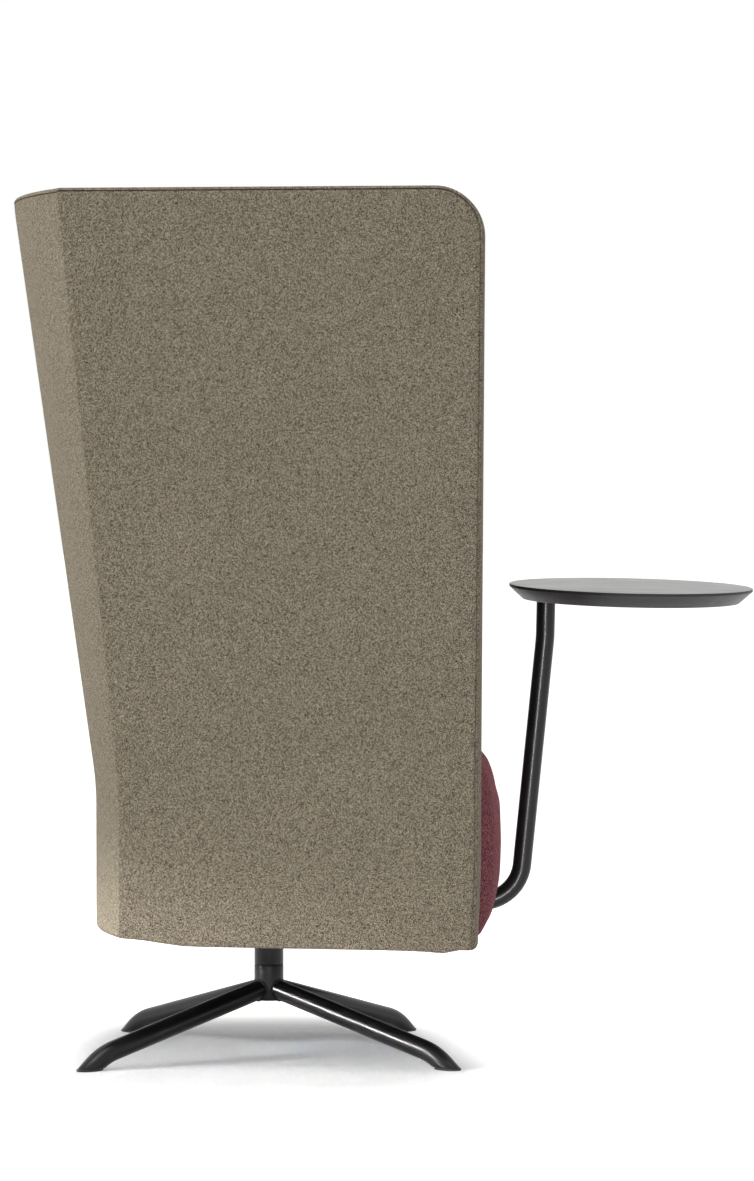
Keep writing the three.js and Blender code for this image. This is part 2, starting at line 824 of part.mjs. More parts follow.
const boardPilots = [
  ...boltPlaces.map(({ x, y }) => roundBar(boltRadius + fitGap, 0, boltGrip + overrun).translate(x, y, 0)),
  ...clampBolts.map(({ x, y }) =>
    roundBar(clampBoltRadius + fitGap, 0, clampBoltGrip + overrun).translate(x, y, 0),
  ),
];
addPiece(
  chair,
  "seat_board",
  cut(
    plateFrom(floorOutline(padDepth, railFront), boardBottom, boardThickness),
    ...boardPilots.map((pilot) => pilot.translate(0, 0, boardBottom + fitGap - overrun)),
  ),
  plywood,
);
addPiece(
  chair,
  "base_cloth",
  cut(
    plateFrom(floorOutline(padDepth, railFront), railBottom - fitGap - clothThickness, clothThickness),
    roundBar(clothHoleRadius, 0, boardBottom),
  ),
  baseClothFinish,
);

// Shell walls

const coreInset = edgeReveal + fitGap;
const coverShape = wingBand({
  from: 0,
  to: coverThickness,
  heights: wallHeights(shellBottom, coreInset),
  inset: coreInset,
  gap: fitGap / 2,
});
const coreShape = wingBand({
  from: coreDepth,
  to: coreDepth + coreThickness,
  heights: wallHeights(railBottom, coreInset),
  inset: coreInset,
  gap: fitGap / 2,
});
addPiece(chair, "wing_cover_right", coverShape, shellFabric);
addPiece(chair, "wing_cover_left", mirrored(coverShape), shellFabric);
addPiece(chair, "wing_core_right", coreShape, plywood);
addPiece(chair, "wing_core_left", mirrored(coreShape), plywood);
addPiece(
  chair,
  "back_cover",
  backBand({ from: 0, to: coverThickness, heights: wallHeights(shellBottom, coreInset), gap: fitGap / 2 }),
  shellFabric,
);
addPiece(
  chair,
  "back_core",
  backBand({
    from: coreDepth,
    to: coreDepth + coreThickness,
    heights: wallHeights(railBottom, coreInset),
    gap: fitGap / 2,
  }),
  plywood,
);

// Corner brackets: steel angles that join the cores on the inside of each seam

function bracketSolid(middle, spare) {
  const heights = [middle - bracketHeight / 2 - spare, middle + bracketHeight / 2 + spare];
  const from = padDepth - fitGap + bracketSeat - spare;
  const to = from + bracketThickness + 2 * spare;
  const gap = -fitGap - spare;
  const wingLeg = wingBand({ from, to, heights, gap, length: bracketLeg + to + spare });
  const lastShare = bracketBackShare + spare / bracketLeg;
  const backLeg = backBand({ from, to, heights, gap, lastShare });
  return fuse(wingLeg, backLeg);
}

const brackets = ["low", "high"].map((place, i) => ({
  place,
  shape: toGeometry(bracketSolid(bracketHeights[i], 0)),
  pocket: toGeometry(bracketSolid(bracketHeights[i], softGap)),
}));
brackets.forEach(({ place, shape }) => {
  addPiece(chair, `corner_bracket_${place}_right`, shape, zincSteel);
  addPiece(chair, `corner_bracket_${place}_left`, mirrored(shape), zincSteel);
});

// Padding: the whole wall less the panel, the core, the brackets and the seat frame that it wraps

const seatPocketHeights = [shellBottom - overrun, boardTop + softGap];
const wingPad = cut(
  wingBand({
    from: 0,
    to: wallThickness,
    heights: wallHeights(shellBottom, 0),
    rounded: true,
    gap: softGap / 2,
  }),
  wingBand({
    from: -overrun,
    to: padDepth,
    heights: wallHeights(shellBottom - overrun, edgeReveal),
    inset: edgeReveal,
    gap: -overrun,
  }),
  wingBand({
    from: -overrun,
    to: wallThickness + overrun,
    heights: seatPocketHeights,
    gap: -overrun,
    length: railEnd + softGap,
  }),
  ...brackets.map(({ pocket }) => pocket),
);
addPiece(chair, "wing_pad_right", wingPad, shellFabric);
addPiece(chair, "wing_pad_left", mirrored(toGeometry(wingPad)), shellFabric);
addPiece(
  chair,
  "back_pad",
  cut(
    backBand({
      from: 0,
      to: wallThickness,
      heights: wallHeights(boardTop + softGap, 0),
      rounded: true,
      gap: softGap / 2,
    }),
    backBand({
      from: -overrun,
      to: padDepth,
      heights: wallHeights(shellBottom - overrun, edgeReveal),
      gap: -overrun,
    }),
    ...brackets.flatMap(({ pocket }) => [pocket, mirrored(pocket)]),
  ),
  shellFabric,
);

// Seat cushion: bulges out in front of the rail, drawn in at its edges, crowned on top

const seatDepthIn = wallThickness + softGap;
const seatMiddle = (seatBottom + seatEdgeHeight) / 2;
const seatHalfHeight = (seatEdgeHeight - seatBottom) / 2;
const bulgeAt = (share) => (1 - Math.abs(share) ** bulgePower) ** (1 / bulgePower);

// Half outline of the seat on the sitter's right, from the middle of the back to the middle of the front.
function seatHalfOutline(height, fullness) {
  const plan = planAt(Math.min(height, creaseHeight - creaseBlend));
  const draw = seatSideRound * (1 - fullness);
  const depth = seatDepthIn + draw;
  const corner = cornerAngle(plan, depth, depth);
  const rear = seatRearShares.map((share) => behindBack(plan, corner * share, depth));
  const frontX = seatFrontReach - seatBulge * (1 - fullness);
  const cornerX = frontX - seatFrontBow - seatCornerRadius;
  const sideX = Math.min(cornerX, lowFrontReach);
  const sideHalf = halfWidthAt(sideX, depth, railBottom);
  const side = seatSideShares.map((share) => {
    const x = THREE.MathUtils.lerp(rear.at(-1).x, sideX, share);
    return new THREE.Vector2(x, -halfWidthAt(x, depth, railBottom));
  });
  const round = seatRoundShares.map((share) => {
    const angle = (Math.PI / 2) * share;
    return new THREE.Vector2(
      sideX + seatCornerRadius * Math.sin(angle),
      -(sideHalf - seatCornerRadius * (1 - Math.cos(angle))),
    );
  });
  const faceHalf = -round.at(-1).y;
  const face = seatFaceShares.map((share) => {
    const bow = seatFrontBow * (1 - share ** 2);
    return new THREE.Vector2(cornerX + seatCornerRadius + bow, -faceHalf * share);
  });
  return [...rear, ...side, ...round, ...face];
}

function seatRing(height, fullness, shrink) {
  const half = seatHalfOutline(height, fullness);
  const centreX = (half[0].x + half.at(-1).x) / 2;
  const right = half.map((p) => new THREE.Vector3(centreX + (p.x - centreX) * shrink, p.y * shrink, height));
  const left = right.map((p) => new THREE.Vector3(p.x, -p.y, p.z)).reverse();
  return [...right, ...left];
}

function seatBlock() {
  const sides = seatLevelShares.map((share) => {
    return seatRing(seatMiddle + share * seatHalfHeight, bulgeAt(share), 1);
  });
  const crown = seatCrownShares.map((shrink) => {
    const ring = seatRing(seatEdgeHeight, 0, shrink);
    ring.forEach((point) => (point.z = seatEdgeHeight + seatCrown * (1 - shrink ** 2)));
    return ring;
  });
  return loft([...sides, ...crown]);
}

const notchHalf = tubeRadius + softGap;
const armChannel = block(
  2 * (seatFrontReach - railFront),
  2 * notchHalf,
  armHeight + notchHalf - shellBottom,
  seatFrontReach,
  armSide,
  shellBottom,
);
addPiece(
  chair,
  "seat_cushion",
  cut(
    seatBlock(),
    block(2 * lowFrontReach, 4 * lowFrontHalf, boardTop + softGap, railFront + softGap - lowFrontReach, 0, 0),
    armChannel,
  ),
  seatFabric,
);

// Back cushion: between the wings, on the seat, against the back's padding

const backCushionBottom = seatEdgeHeight + seatCrown + softGap;

function backCushionRing(share) {
  const height = backCushionBottom + (backCushionHeight * (share + 1)) / 2;
  const plan = planAt(height);
  const rear = wallThickness + softGap;
  const across = (depth, fraction) => {
    const side = wallThickness + softGap + backCushionSideGap;
    return behindBack(plan, cornerAngle(plan, side, depth) * fraction, depth);
  };
  const front = backAcrossShares.map((fraction) => {
    const fullness = bulgeAt(share) * bulgeAt(fraction);
    const thickness = backCushionEdge + (backCushionThickness - backCushionEdge) * fullness;
    return across(rear + thickness, fraction);
  });
  const back = backAcrossShares.map((fraction) => across(rear, fraction));
  return [...back, ...front.reverse()].map((p) => new THREE.Vector3(p.x, p.y, height));
}

addPiece(chair, "back_cushion", loft(backLevelShares.map(backCushionRing)), seatFabric);

// Tablet arm: clamped under the seat board, rolled a little about its lower run

clampPlaces.forEach(({ place, x }) => {
  const height = boardBottom - fitGap - (armHeight - clampBelow);
  const body = block(clampLength, clampWidth, height, x, armSide, armHeight - clampBelow);
  const bore = alongX(armNotchRadius, x - clampLength, 2 * clampLength).translate(0, armSide, armHeight);
  const slit = block(
    2 * clampLength,
    2 * fitGap + clothThickness,
    clampBelow + fitGap,
    x,
    armSide,
    armHeight - clampBelow - fitGap,
  );
  const holes = clampBolts
    .filter((bolt) => bolt.x === x)
    .map((bolt) => roundBar(clampBoltRadius + fitGap, 0, 2 * boardBottom).translate(bolt.x, bolt.y, 0));
  addPiece(chair, `arm_clamp_${place}`, cut(body, bore, slit, ...holes), blackNylon);
});
clampBolts.forEach(({ name, x, y }) => {
  const bottom = armHeight - clampBelow - fitGap;
  const shank = boardBottom + clampBoltGrip - fitGap - bottom;
  const bolt = addPiece(
    chair,
    name,
    screw(clampBoltHeadRadius, clampBoltHeadHeight, clampBoltRadius, shank),
    zincSteel,
  );
  bolt.position.set(x, y, bottom);
});

const arm = new THREE.Group();
arm.position.set(0, armSide, armHeight);
arm.rotation.x = radians(armRoll);
chair.add(arm);

const armCorners = [
  new THREE.Vector3(armRunStart, 0, 0),
  new THREE.Vector3(armRunReach, 0, 0),
  new THREE.Vector3(armKinkReach, 0, armKinkRise),
  new THREE.Vector3(armTopReach, 0, armTopRise),
];
const armStations = bentStations(armCorners, [armBendRadius, armKinkRadius], [armBendSteps, kinkSteps]);
addPiece(arm, "arm_tube", bentTube(tubeRadius, tubeBore, armStations), paintedSteel);
const armPlug = fuse(
  roundBar(tubeRadius, -armPlugFlange - fitGap, armPlugFlange),
  roundBar(tubeBore - fitGap, -armPlugFlange - fitGap, armPlugFlange + armPlugLength),
);
const armPlugMesh = addPiece(arm, "arm_plug", armPlug, blackNylon);
armPlugMesh.position.x = armRunStart;
armPlugMesh.rotation.y = Math.PI / 2;

// Tablet, in a group that stands on the arm's top end and leans with it

const tablet = new THREE.Group();
tablet.position.copy(armCorners.at(-1));
tablet.rotation.y = Math.atan2(armTopReach - armKinkReach, armTopRise - armKinkRise);
arm.add(tablet);

const armBush = cut(
  toGeometry(
    fuse(
      roundBar(tubeRadius, fitGap, bushFlange),
      roundBar(tubeBore - fitGap, fitGap - bushSpigot, bushSpigot + bushFlange / 2),
    ),
  ),
  roundBar(pivotRadius + fitGap, -bushSpigot - overrun, bushSpigot + bushFlange + 2 * overrun),
);
addPiece(tablet, "arm_bush", armBush, blackNylon);
const tablePlateBottom = 2 * fitGap + bushFlange;
const tabletopBottom = tablePlateBottom + tablePlateProud;
const tableSeat = tablePlateBottom + tablePlateThickness + fitGap;
addPiece(
  tablet,
  "pivot_pin",
  roundBar(pivotRadius, tablePlateBottom - fitGap - pivotLength, pivotLength),
  zincSteel,
);
const tableScrews = Array.from({ length: tableScrewCount }, (_, k) => {
  const angle = (2 * Math.PI * k) / tableScrewCount;
  return [tableScrewCircle * Math.cos(angle), tableScrewCircle * Math.sin(angle)];
});
addPiece(
  tablet,
  "table_plate",
  cut(
    roundBar(tablePlateRadius, tablePlateBottom, tablePlateThickness),
    ...tableScrews.map(([x, y]) =>
      roundBar(tableScrewRadius + fitGap, 0, tableSeat + overrun).translate(x, y, 0),
    ),
  ),
  paintedSteel,
);
tableScrews.forEach(([x, y], k) => {
  const bottom = tablePlateBottom - fitGap;
  const shank = tableSeat + tableScrewGrip - fitGap - bottom;
  const piece = addPiece(
    tablet,
    `table_screw_${k + 1}`,
    screw(tableScrewHeadRadius, tableScrewHeadHeight, tableScrewRadius, shank),
    zincSteel,
  );
  piece.position.set(x, y, bottom);
});
const tabletopProfile = [
  [0, 0],
  [tabletopRadius - tabletopUndercut, 0],
  [tabletopRadius, tabletopThickness - tabletopRim],
  [tabletopRadius, tabletopThickness - tabletopRimRound],
  [tabletopRadius - tabletopRimRound, tabletopThickness],
  [0, tabletopThickness],
];
addPiece(
  tablet,
  "tabletop",
  cut(
    revolve(tabletopProfile, discSides).translate(tabletopOffset, 0, tabletopBottom),
    roundBar(tablePlateRadius + fitGap, 0, tableSeat),
    ...tableScrews.map(([x, y]) =>
      roundBar(tableScrewRadius + fitGap, tableSeat - overrun, tableScrewGrip + overrun).translate(x, y, 0),
    ),
  ),
  tableFinish,
);

// The frame's origin is the middle of the chair's footprint, on the floor

chair.updateMatrixWorld(true);
const bounds = new THREE.Box3().setFromObject(chair);
const centre = bounds.getCenter(new THREE.Vector3());
chair.position.set(-centre.x, -centre.y, -bounds.min.z);

export default chair;
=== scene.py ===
"""Looks of the acoustic high back lounge chair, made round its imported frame.

Metres in the row frame: +X is the way the sitter faces, +Y is the sitter's left, +Z is up.
The upholstered walls are cut flat, as a pattern, and then wrapped on the shell's outline.
"""

import functools
import json
import logging
import math
from collections.abc import Callable, Iterable
from dataclasses import dataclass
from enum import Enum

import bpy
from mathutils import Matrix, Vector

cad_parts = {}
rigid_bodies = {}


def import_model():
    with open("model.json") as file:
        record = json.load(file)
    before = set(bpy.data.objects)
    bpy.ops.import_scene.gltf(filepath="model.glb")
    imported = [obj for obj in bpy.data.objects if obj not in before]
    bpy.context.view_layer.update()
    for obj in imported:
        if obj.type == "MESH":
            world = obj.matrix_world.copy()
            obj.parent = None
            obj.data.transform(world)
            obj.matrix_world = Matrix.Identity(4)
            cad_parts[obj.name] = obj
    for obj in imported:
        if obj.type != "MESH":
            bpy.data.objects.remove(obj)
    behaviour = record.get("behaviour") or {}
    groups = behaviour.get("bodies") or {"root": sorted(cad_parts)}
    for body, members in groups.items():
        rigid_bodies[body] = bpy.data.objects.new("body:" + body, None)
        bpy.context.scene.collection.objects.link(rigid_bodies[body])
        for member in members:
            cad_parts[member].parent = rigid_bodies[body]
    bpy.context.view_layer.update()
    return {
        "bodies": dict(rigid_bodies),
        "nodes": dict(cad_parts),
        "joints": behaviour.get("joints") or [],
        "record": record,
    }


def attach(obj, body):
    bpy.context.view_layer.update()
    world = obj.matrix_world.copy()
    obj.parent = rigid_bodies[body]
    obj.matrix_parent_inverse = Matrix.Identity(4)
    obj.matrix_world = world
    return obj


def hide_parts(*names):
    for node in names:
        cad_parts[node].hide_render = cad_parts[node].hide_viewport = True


COLUMN = Vector((-0.176813, -0.005354, 0.0))
NEAR = 1e-5
UPRIGHT = Vector((0, 0, 1))
log = logging.getLogger("chair")

Piece = bpy.types.Object
Material = bpy.types.Material
Tree = bpy.types.NodeTree
Socket = bpy.types.NodeSocket
Finishes = dict[str, Material]
Test = Callable[[Vector, Vector], bool]


class Body(Enum):
    """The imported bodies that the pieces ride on."""

    BASE = "base"
    SEAT = "seat"
    TABLE = "table"


class Side(Enum):
    """The sitter's right and left, as the nodes' names end."""

    RIGHT = "right"
    LEFT = "left"


def ease(value: float) -> float:
    """Rises smoothly from 0 to 1 while a value does, and stays there."""
    share = min(max(value, 0.0), 1.0)
    return share**2 * (3 - 2 * share)


def linear(colour: str) -> tuple[float, float, float, float]:
    """Turns an sRGB hex colour to linear.

    Args:
        colour: Six hex digits after a number sign.

    Returns:
        Red, green, blue and an alpha of one.
    """
    parts = [int(colour[i : i + 2], 16) / 255 for i in (1, 3, 5)]
    shares = [c / 12.92 if c <= 0.04045 else ((c + 0.055) / 1.055) ** 2.4 for c in parts]
    return (*shares, 1.0)


def add_node(
    tree: Tree,
    kind: str,
    settings: dict[str, object] | None = None,
    inputs: dict[str | int, object] | None = None,
    stops: dict[float, str] | None = None,
) -> bpy.types.Node:
    """Adds a node with its settings, its input values and its links.

    Args:
        tree: The node tree that it goes in.
        kind: The node's type name.
        settings: Values for the node's own properties.
        inputs: For each input by name or number, a value, or a socket to link from.
        stops: For a colour ramp, the hex colour at each place on it.

    Returns:
        The new node.
    """
    node = tree.nodes.new(kind)
    for name, value in (settings or {}).items():
        setattr(node, name, value)
    for key, value in (inputs or {}).items():
        if isinstance(value, Socket):
            tree.links.new(value, node.inputs[key])
        else:
            node.inputs[key].default_value = value
    if stops:
        elements = node.color_ramp.elements
        while len(elements) < len(stops):
            elements.new(0.5)
        for element, place in zip(elements, sorted(stops)):
            element.position = place
            element.color = linear(stops[place])
    return node


def new_material(name: str) -> tuple[Material, Tree, Socket]:
    """Makes an empty node material.

    Args:
        name: The finish's name.

    Returns:
        The material, its tree and the coordinates on the object.
    """
    material = bpy.data.materials.new(name)
    material.use_nodes = True
    material.node_tree.nodes.clear()
    place = add_node(material.node_tree, "ShaderNodeTexCoord").outputs["Object"]
    return material, material.node_tree, place


def surface(tree: Tree, inputs: dict[str | int, object]) -> None:
    """Ends a material with its principled shader, given the shader's values and links."""
    shader = add_node(tree, "ShaderNodeBsdfPrincipled", {}, inputs)
    add_node(tree, "ShaderNodeOutputMaterial", {}, {"Surface": shader.outputs["BSDF"]})


@dataclass(frozen=True)
class MelangeWool:
    """Felted wool of mixed fibres: matt, with short worm-like flecks and a soft edge sheen.

    The fleck and fibre sizes are in metres. The softness is half the width of the colour ramp. A sewn wool
    also gets painted shade in its hollows and along its seam's groove.
    """

    name: str
    dark: str
    ground: str
    light: str
    sewn: bool = False
    fleck: float = 0.0020
    fibre: float = 0.0014
    softness: float = 0.032
    sheen: float = 0.30
    groove: tuple[float, float] = (0.0004, 0.0045)
    stitch_row: float = 0.006
    stitch_pitch: float = 0.0055

    def build(self) -> Material:
        """Makes the material: drawn out flecks from a 2 mm noise over fibres from a 1.4 mm one."""
        material, tree, place = new_material(self.name)
        flecks = add_node(
            tree,
            "ShaderNodeTexNoise",
            {},
            {"Vector": place, "Scale": 1 / self.fleck, "Detail": 2.0, "Roughness": 0.75, "Distortion": 2.6},
        )
        fibres = add_node(
            tree,
            "ShaderNodeTexNoise",
            {},
            {"Vector": place, "Scale": 1 / self.fibre, "Detail": 1.0, "Roughness": 0.5, "Distortion": 2.0},
        )
        clouds = add_node(tree, "ShaderNodeTexNoise", {}, {"Vector": place, "Scale": 5.0, "Detail": 2.0})
        mixed = add_node(
            tree,
            "ShaderNodeMix",
            {"data_type": "FLOAT"},
            {"Factor": 0.35, 2: flecks.outputs["Fac"], 3: fibres.outputs["Fac"]},
        )
        low, high = 0.5 - self.softness, 0.5 + self.softness
        colour = add_node(
            tree,
            "ShaderNodeValToRGB",
            {},
            {"Fac": mixed.outputs[0]},
            {low: self.dark, 0.5: self.ground, high: self.light},
        ).outputs["Color"]
        shade = add_node(
            tree,
            "ShaderNodeValToRGB",
            {},
            {"Fac": clouds.outputs["Fac"]},
            {0.3: "#FAFAFA", 0.7: "#FFFFFF"},
        ).outputs["Color"]
        tinted = add_node(
            tree,
            "ShaderNodeMix",
            {"data_type": "RGBA", "blend_type": "MULTIPLY"},
            {"Factor": 1.0, 6: colour, 7: shade},
        )
        bump = add_node(
            tree,
            "ShaderNodeBump",
            {},
            {"Strength": 0.6, "Distance": 0.0008, "Height": mixed.outputs[0]},
        )
        colour, normal = tinted.outputs[2], bump.outputs["Normal"]
        if self.sewn:
            colour, normal = self.seam(tree, colour, normal)
        surface(
            tree,
            {
                "Base Color": colour,
                "Roughness": 0.93,
                "Specular IOR Level": 0.12,
                "Sheen Weight": self.sheen,
                "Sheen Roughness": 0.35,
                "Sheen Tint": linear(self.light),
                "Normal": normal,
            },
        )
        return material

    def seam(
        self, tree: Tree, colour: Socket, normal: Socket
    ) -> tuple[Socket, Socket]:
        """Paints shade into the hollows with an ambient occlusion ramp, and adds a soft seam with painted
        shade in its groove, with a stitch every 5.5 mm beside it.

        Args:
            tree: The material's nodes.
            colour: The cloth's colour.
            normal: The cloth's normal.

        Returns:
            The colour and the normal with the seam.
        """
        across = add_node(tree, "ShaderNodeAttribute", {"attribute_name": "seam_across"}).outputs["Fac"]
        along = add_node(tree, "ShaderNodeAttribute", {"attribute_name": "seam_along"}).outputs["Fac"]
        apart = add_node(tree, "ShaderNodeMath", {"operation": "ABSOLUTE"}, {0: across})
        groove = add_node(
            tree,
            "ShaderNodeMapRange",
            {"interpolation_type": "SMOOTHSTEP"},
            {"Value": apart.outputs[0], 1: self.groove[0], 2: self.groove[1], 3: 0.0, 4: 1.0},
        )
        beside = add_node(tree, "ShaderNodeMath", {"operation": "SUBTRACT"}, {0: across, 1: self.stitch_row})
        off = add_node(tree, "ShaderNodeMath", {"operation": "ABSOLUTE"}, {0: beside.outputs[0]})
        thread = add_node(
            tree,
            "ShaderNodeMapRange",
            {"interpolation_type": "SMOOTHSTEP"},
            {"Value": off.outputs[0], 1: 0.0004, 2: 0.0009, 3: 1.0, 4: 0.0},
        )
        wave = add_node(
            tree,
            "ShaderNodeMath",
            {"operation": "MULTIPLY"},
            {0: along, 1: math.tau / self.stitch_pitch},
        )
        beat = add_node(tree, "ShaderNodeMath", {"operation": "SINE"}, {0: wave.outputs[0]})
        dash = add_node(
            tree, "ShaderNodeMapRange", {}, {"Value": beat.outputs[0], 1: -0.7, 2: -0.4, 3: 0.0, 4: 1.0}
        )
        stitch = add_node(
            tree,
            "ShaderNodeMath",
            {"operation": "MULTIPLY"},
            {0: thread.outputs["Result"], 1: dash.outputs["Result"]},
        )
        # painted shade: the colour darkens down to #6E6E6E along the seam's sunk groove
        deep = add_node(
            tree,
            "ShaderNodeValToRGB",
            {},
            {"Fac": groove.outputs["Result"]},
            {0.0: "#6E6E6E", 0.45: "#FFFFFF"},
        ).outputs["Color"]
        # painted shade: an ambient occlusion ramp darkens the cover's colour where other parts crowd it, such
        # as beside the wing
        hollow = add_node(tree, "ShaderNodeAmbientOcclusion", {"samples": 8}, {"Distance": 0.16})
        painted_hollow_shade = add_node(
            tree,
            "ShaderNodeValToRGB",
            {},
            {"Fac": hollow.outputs["AO"]},
            {0.15: "#8A8086", 0.75: "#FFFFFF"},
        ).outputs["Color"]
        shaded = add_node(
            tree,
            "ShaderNodeMix",
            {"data_type": "RGBA", "blend_type": "MULTIPLY"},
            {"Factor": 1.0, 6: colour, 7: painted_hollow_shade},
        )
        dark = add_node(
            tree,
            "ShaderNodeMix",
            {"data_type": "RGBA", "blend_type": "MULTIPLY"},
            {"Factor": 1.0, 6: shaded.outputs[2], 7: deep},
        )
        sewn = add_node(
            tree,
            "ShaderNodeMix",
            {"data_type": "RGBA"},
            {"Factor": stitch.outputs[0], 6: dark.outputs[2], 7: linear(self.dark)},
        )
        sunk = add_node(
            tree,
            "ShaderNodeBump",
            {},
            {"Strength": 1.0, "Distance": 0.0022, "Height": groove.outputs["Result"], "Normal": normal},
        )
        raised = add_node(
            tree,
            "ShaderNodeBump",
            {},
            {
                "Strength": 1.0,
                "Distance": 0.0006,
                "Height": stitch.outputs[0],
                "Normal": sunk.outputs["Normal"],
            },
        )
        return sewn.outputs[2], raised.outputs["Normal"]


@dataclass(frozen=True)
class PowderCoat:
    """Powder coated steel: satin black with a faint orange peel."""

    name: str
    colour: str
    dusty: str
    roughness: float

    def build(self) -> Material:
        """Makes the material: an orange peel about 1.5 mm wide, and dust in the coat."""
        material, tree, place = new_material(self.name)
        peel = add_node(tree, "ShaderNodeTexNoise", {}, {"Vector": place, "Scale": 1 / 0.0015, "Detail": 1.0})
        dust = add_node(tree, "ShaderNodeTexNoise", {}, {"Vector": place, "Scale": 1 / 0.03, "Detail": 4.0})
        worn = add_node(
            tree,
            "ShaderNodeMapRange",
            {},
            {
                "Value": dust.outputs["Fac"],
                1: 0.35,
                2: 0.65,
                3: self.roughness - 0.015,
                4: self.roughness + 0.02,
            },
        )
        colour = add_node(
            tree,
            "ShaderNodeValToRGB",
            {},
            {"Fac": dust.outputs["Fac"]},
            {0.35: self.colour, 0.7: self.dusty},
        ).outputs["Color"]
        bump = add_node(
            tree,
            "ShaderNodeBump",
            {},
            {"Strength": 0.02, "Distance": 0.0002, "Height": peel.outputs["Fac"]},
        )
        surface(
            tree,
            {
                "Base Color": colour,
                "Roughness": worn.outputs["Result"],
                "Specular IOR Level": 0.22,
                "Coat Weight": 0.12,
                "Coat Roughness": 0.12,
                "Normal": bump.outputs["Normal"],
            },
        )
        return material


@dataclass(frozen=True)
class StainedAsh:
    """A wood grain laminate or stained ash edge: open grain in long lines under satin lacquer."""

    name: str
    pore: str
    wood: str
    roughness: float
    relief: float
    turn: float = 28.0

    def build(self) -> Material:
        """Makes the material: pores about 3 mm apart in lines about 55 mm long."""
        material, tree, place = new_material(self.name)
        turned = add_node(
            tree,
            "ShaderNodeMapping",
            {},
            {"Vector": place, "Rotation": (0.0, 0.0, math.radians(self.turn)), "Scale": (18.0, 330.0, 330.0)},
        )
        grain = add_node(
            tree,
            "ShaderNodeTexNoise",
            {},
            {
                "Vector": turned.outputs["Vector"],
                "Scale": 1.0,
                "Detail": 5.0,
                "Roughness": 0.65,
                "Distortion": 0.4,
            },
        )
        wide = add_node(
            tree,
            "ShaderNodeMapping",
            {},
            {"Vector": place, "Rotation": (0.0, 0.0, math.radians(self.turn)), "Scale": (3.0, 40.0, 40.0)},
        )
        rings = add_node(
            tree,
            "ShaderNodeTexNoise",
            {},
            {"Vector": wide.outputs["Vector"], "Scale": 1.0, "Detail": 3.0, "Distortion": 1.2},
        )
        mixed = add_node(
            tree,
            "ShaderNodeMix",
            {"data_type": "FLOAT"},
            {"Factor": 0.35, 2: grain.outputs["Fac"], 3: rings.outputs["Fac"]},
        )
        colour = add_node(
            tree,
            "ShaderNodeValToRGB",
            {},
            {"Fac": mixed.outputs[0]},
            {0.35: self.pore, 0.62: self.wood},
        ).outputs["Color"]
        rough = add_node(
            tree,
            "ShaderNodeMapRange",
            {},
            {"Value": mixed.outputs[0], 1: 0.35, 2: 0.65, 3: self.roughness + 0.08, 4: self.roughness - 0.03},
        )
        bump = add_node(
            tree,
            "ShaderNodeBump",
            {},
            {"Strength": self.relief, "Distance": 0.0002, "Height": mixed.outputs[0]},
        )
        surface(
            tree,
            {
                "Base Color": colour,
                "Roughness": rough.outputs["Result"],
                "Normal": bump.outputs["Normal"],
            },
        )
        return material


@dataclass(frozen=True)
class ZincPlate:
    """Zinc plated steel: bright grey with soft blotches from the bath."""

    name: str

    def build(self) -> Material:
        """Makes the material: blotches about 6 mm wide."""
        material, tree, place = new_material(self.name)
        bath = add_node(tree, "ShaderNodeTexNoise", {}, {"Vector": place, "Scale": 1 / 0.006, "Detail": 3.0})
        colour = add_node(
            tree,
            "ShaderNodeValToRGB",
            {},
            {"Fac": bath.outputs["Fac"]},
            {0.35: "#9EA3A7", 0.65: "#C3C6C8"},
        ).outputs["Color"]
        rough = add_node(
            tree,
            "ShaderNodeMapRange",
            {},
            {"Value": bath.outputs["Fac"], 1: 0.3, 2: 0.7, 3: 0.28, 4: 0.42},
        )
        surface(tree, {"Base Color": colour, "Metallic": 1.0, "Roughness": rough.outputs["Result"]})
        return material


@dataclass(frozen=True)
class MouldedNylon:
    """Injection moulded nylon: black with a fine spark eroded grain."""

    name: str

    def build(self) -> Material:
        """Makes the material: a mould grain about 0.8 mm wide."""
        material, tree, place = new_material(self.name)
        grain = add_node(
            tree,
            "ShaderNodeTexNoise",
            {},
            {"Vector": place, "Scale": 1 / 0.0008, "Detail": 2.0},
        )
        colour = add_node(
            tree,
            "ShaderNodeValToRGB",
            {},
            {"Fac": grain.outputs["Fac"]},
            {0.3: "#131314", 0.7: "#1B1B1C"},
        ).outputs["Color"]
        bump = add_node(
            tree,
            "ShaderNodeBump",
            {},
            {"Strength": 0.2, "Distance": 0.0002, "Height": grain.outputs["Fac"]},
        )
        surface(tree, {"Base Color": colour, "Roughness": 0.52, "Normal": bump.outputs["Normal"]})
        return material


@dataclass(frozen=True)
class BirchPlywood:
    """Rotary cut birch plywood: pale, with long grain."""

    name: str

    def build(self) -> Material:
        """Makes the material: grain 2 mm wide and 25 mm long."""
        material, tree, place = new_material(self.name)
        stretched = add_node(tree, "ShaderNodeMapping", {}, {"Vector": place, "Scale": (40.0, 500.0, 500.0)})
        grain = add_node(
            tree,
            "ShaderNodeTexNoise",
            {},
            {"Vector": stretched.outputs["Vector"], "Scale": 1.0, "Detail": 4.0, "Distortion": 0.6},
        )
        colour = add_node(
            tree,
            "ShaderNodeValToRGB",
            {},
            {"Fac": grain.outputs["Fac"]},
            {0.3: "#B08B5F", 0.55: "#CBA878", 0.75: "#D8BA8E"},
        ).outputs["Color"]
        bump = add_node(
            tree,
            "ShaderNodeBump",
            {},
            {"Strength": 0.25, "Distance": 0.0003, "Height": grain.outputs["Fac"]},
        )
        surface(tree, {"Base Color": colour, "Roughness": 0.68, "Normal": bump.outputs["Normal"]})
        return material


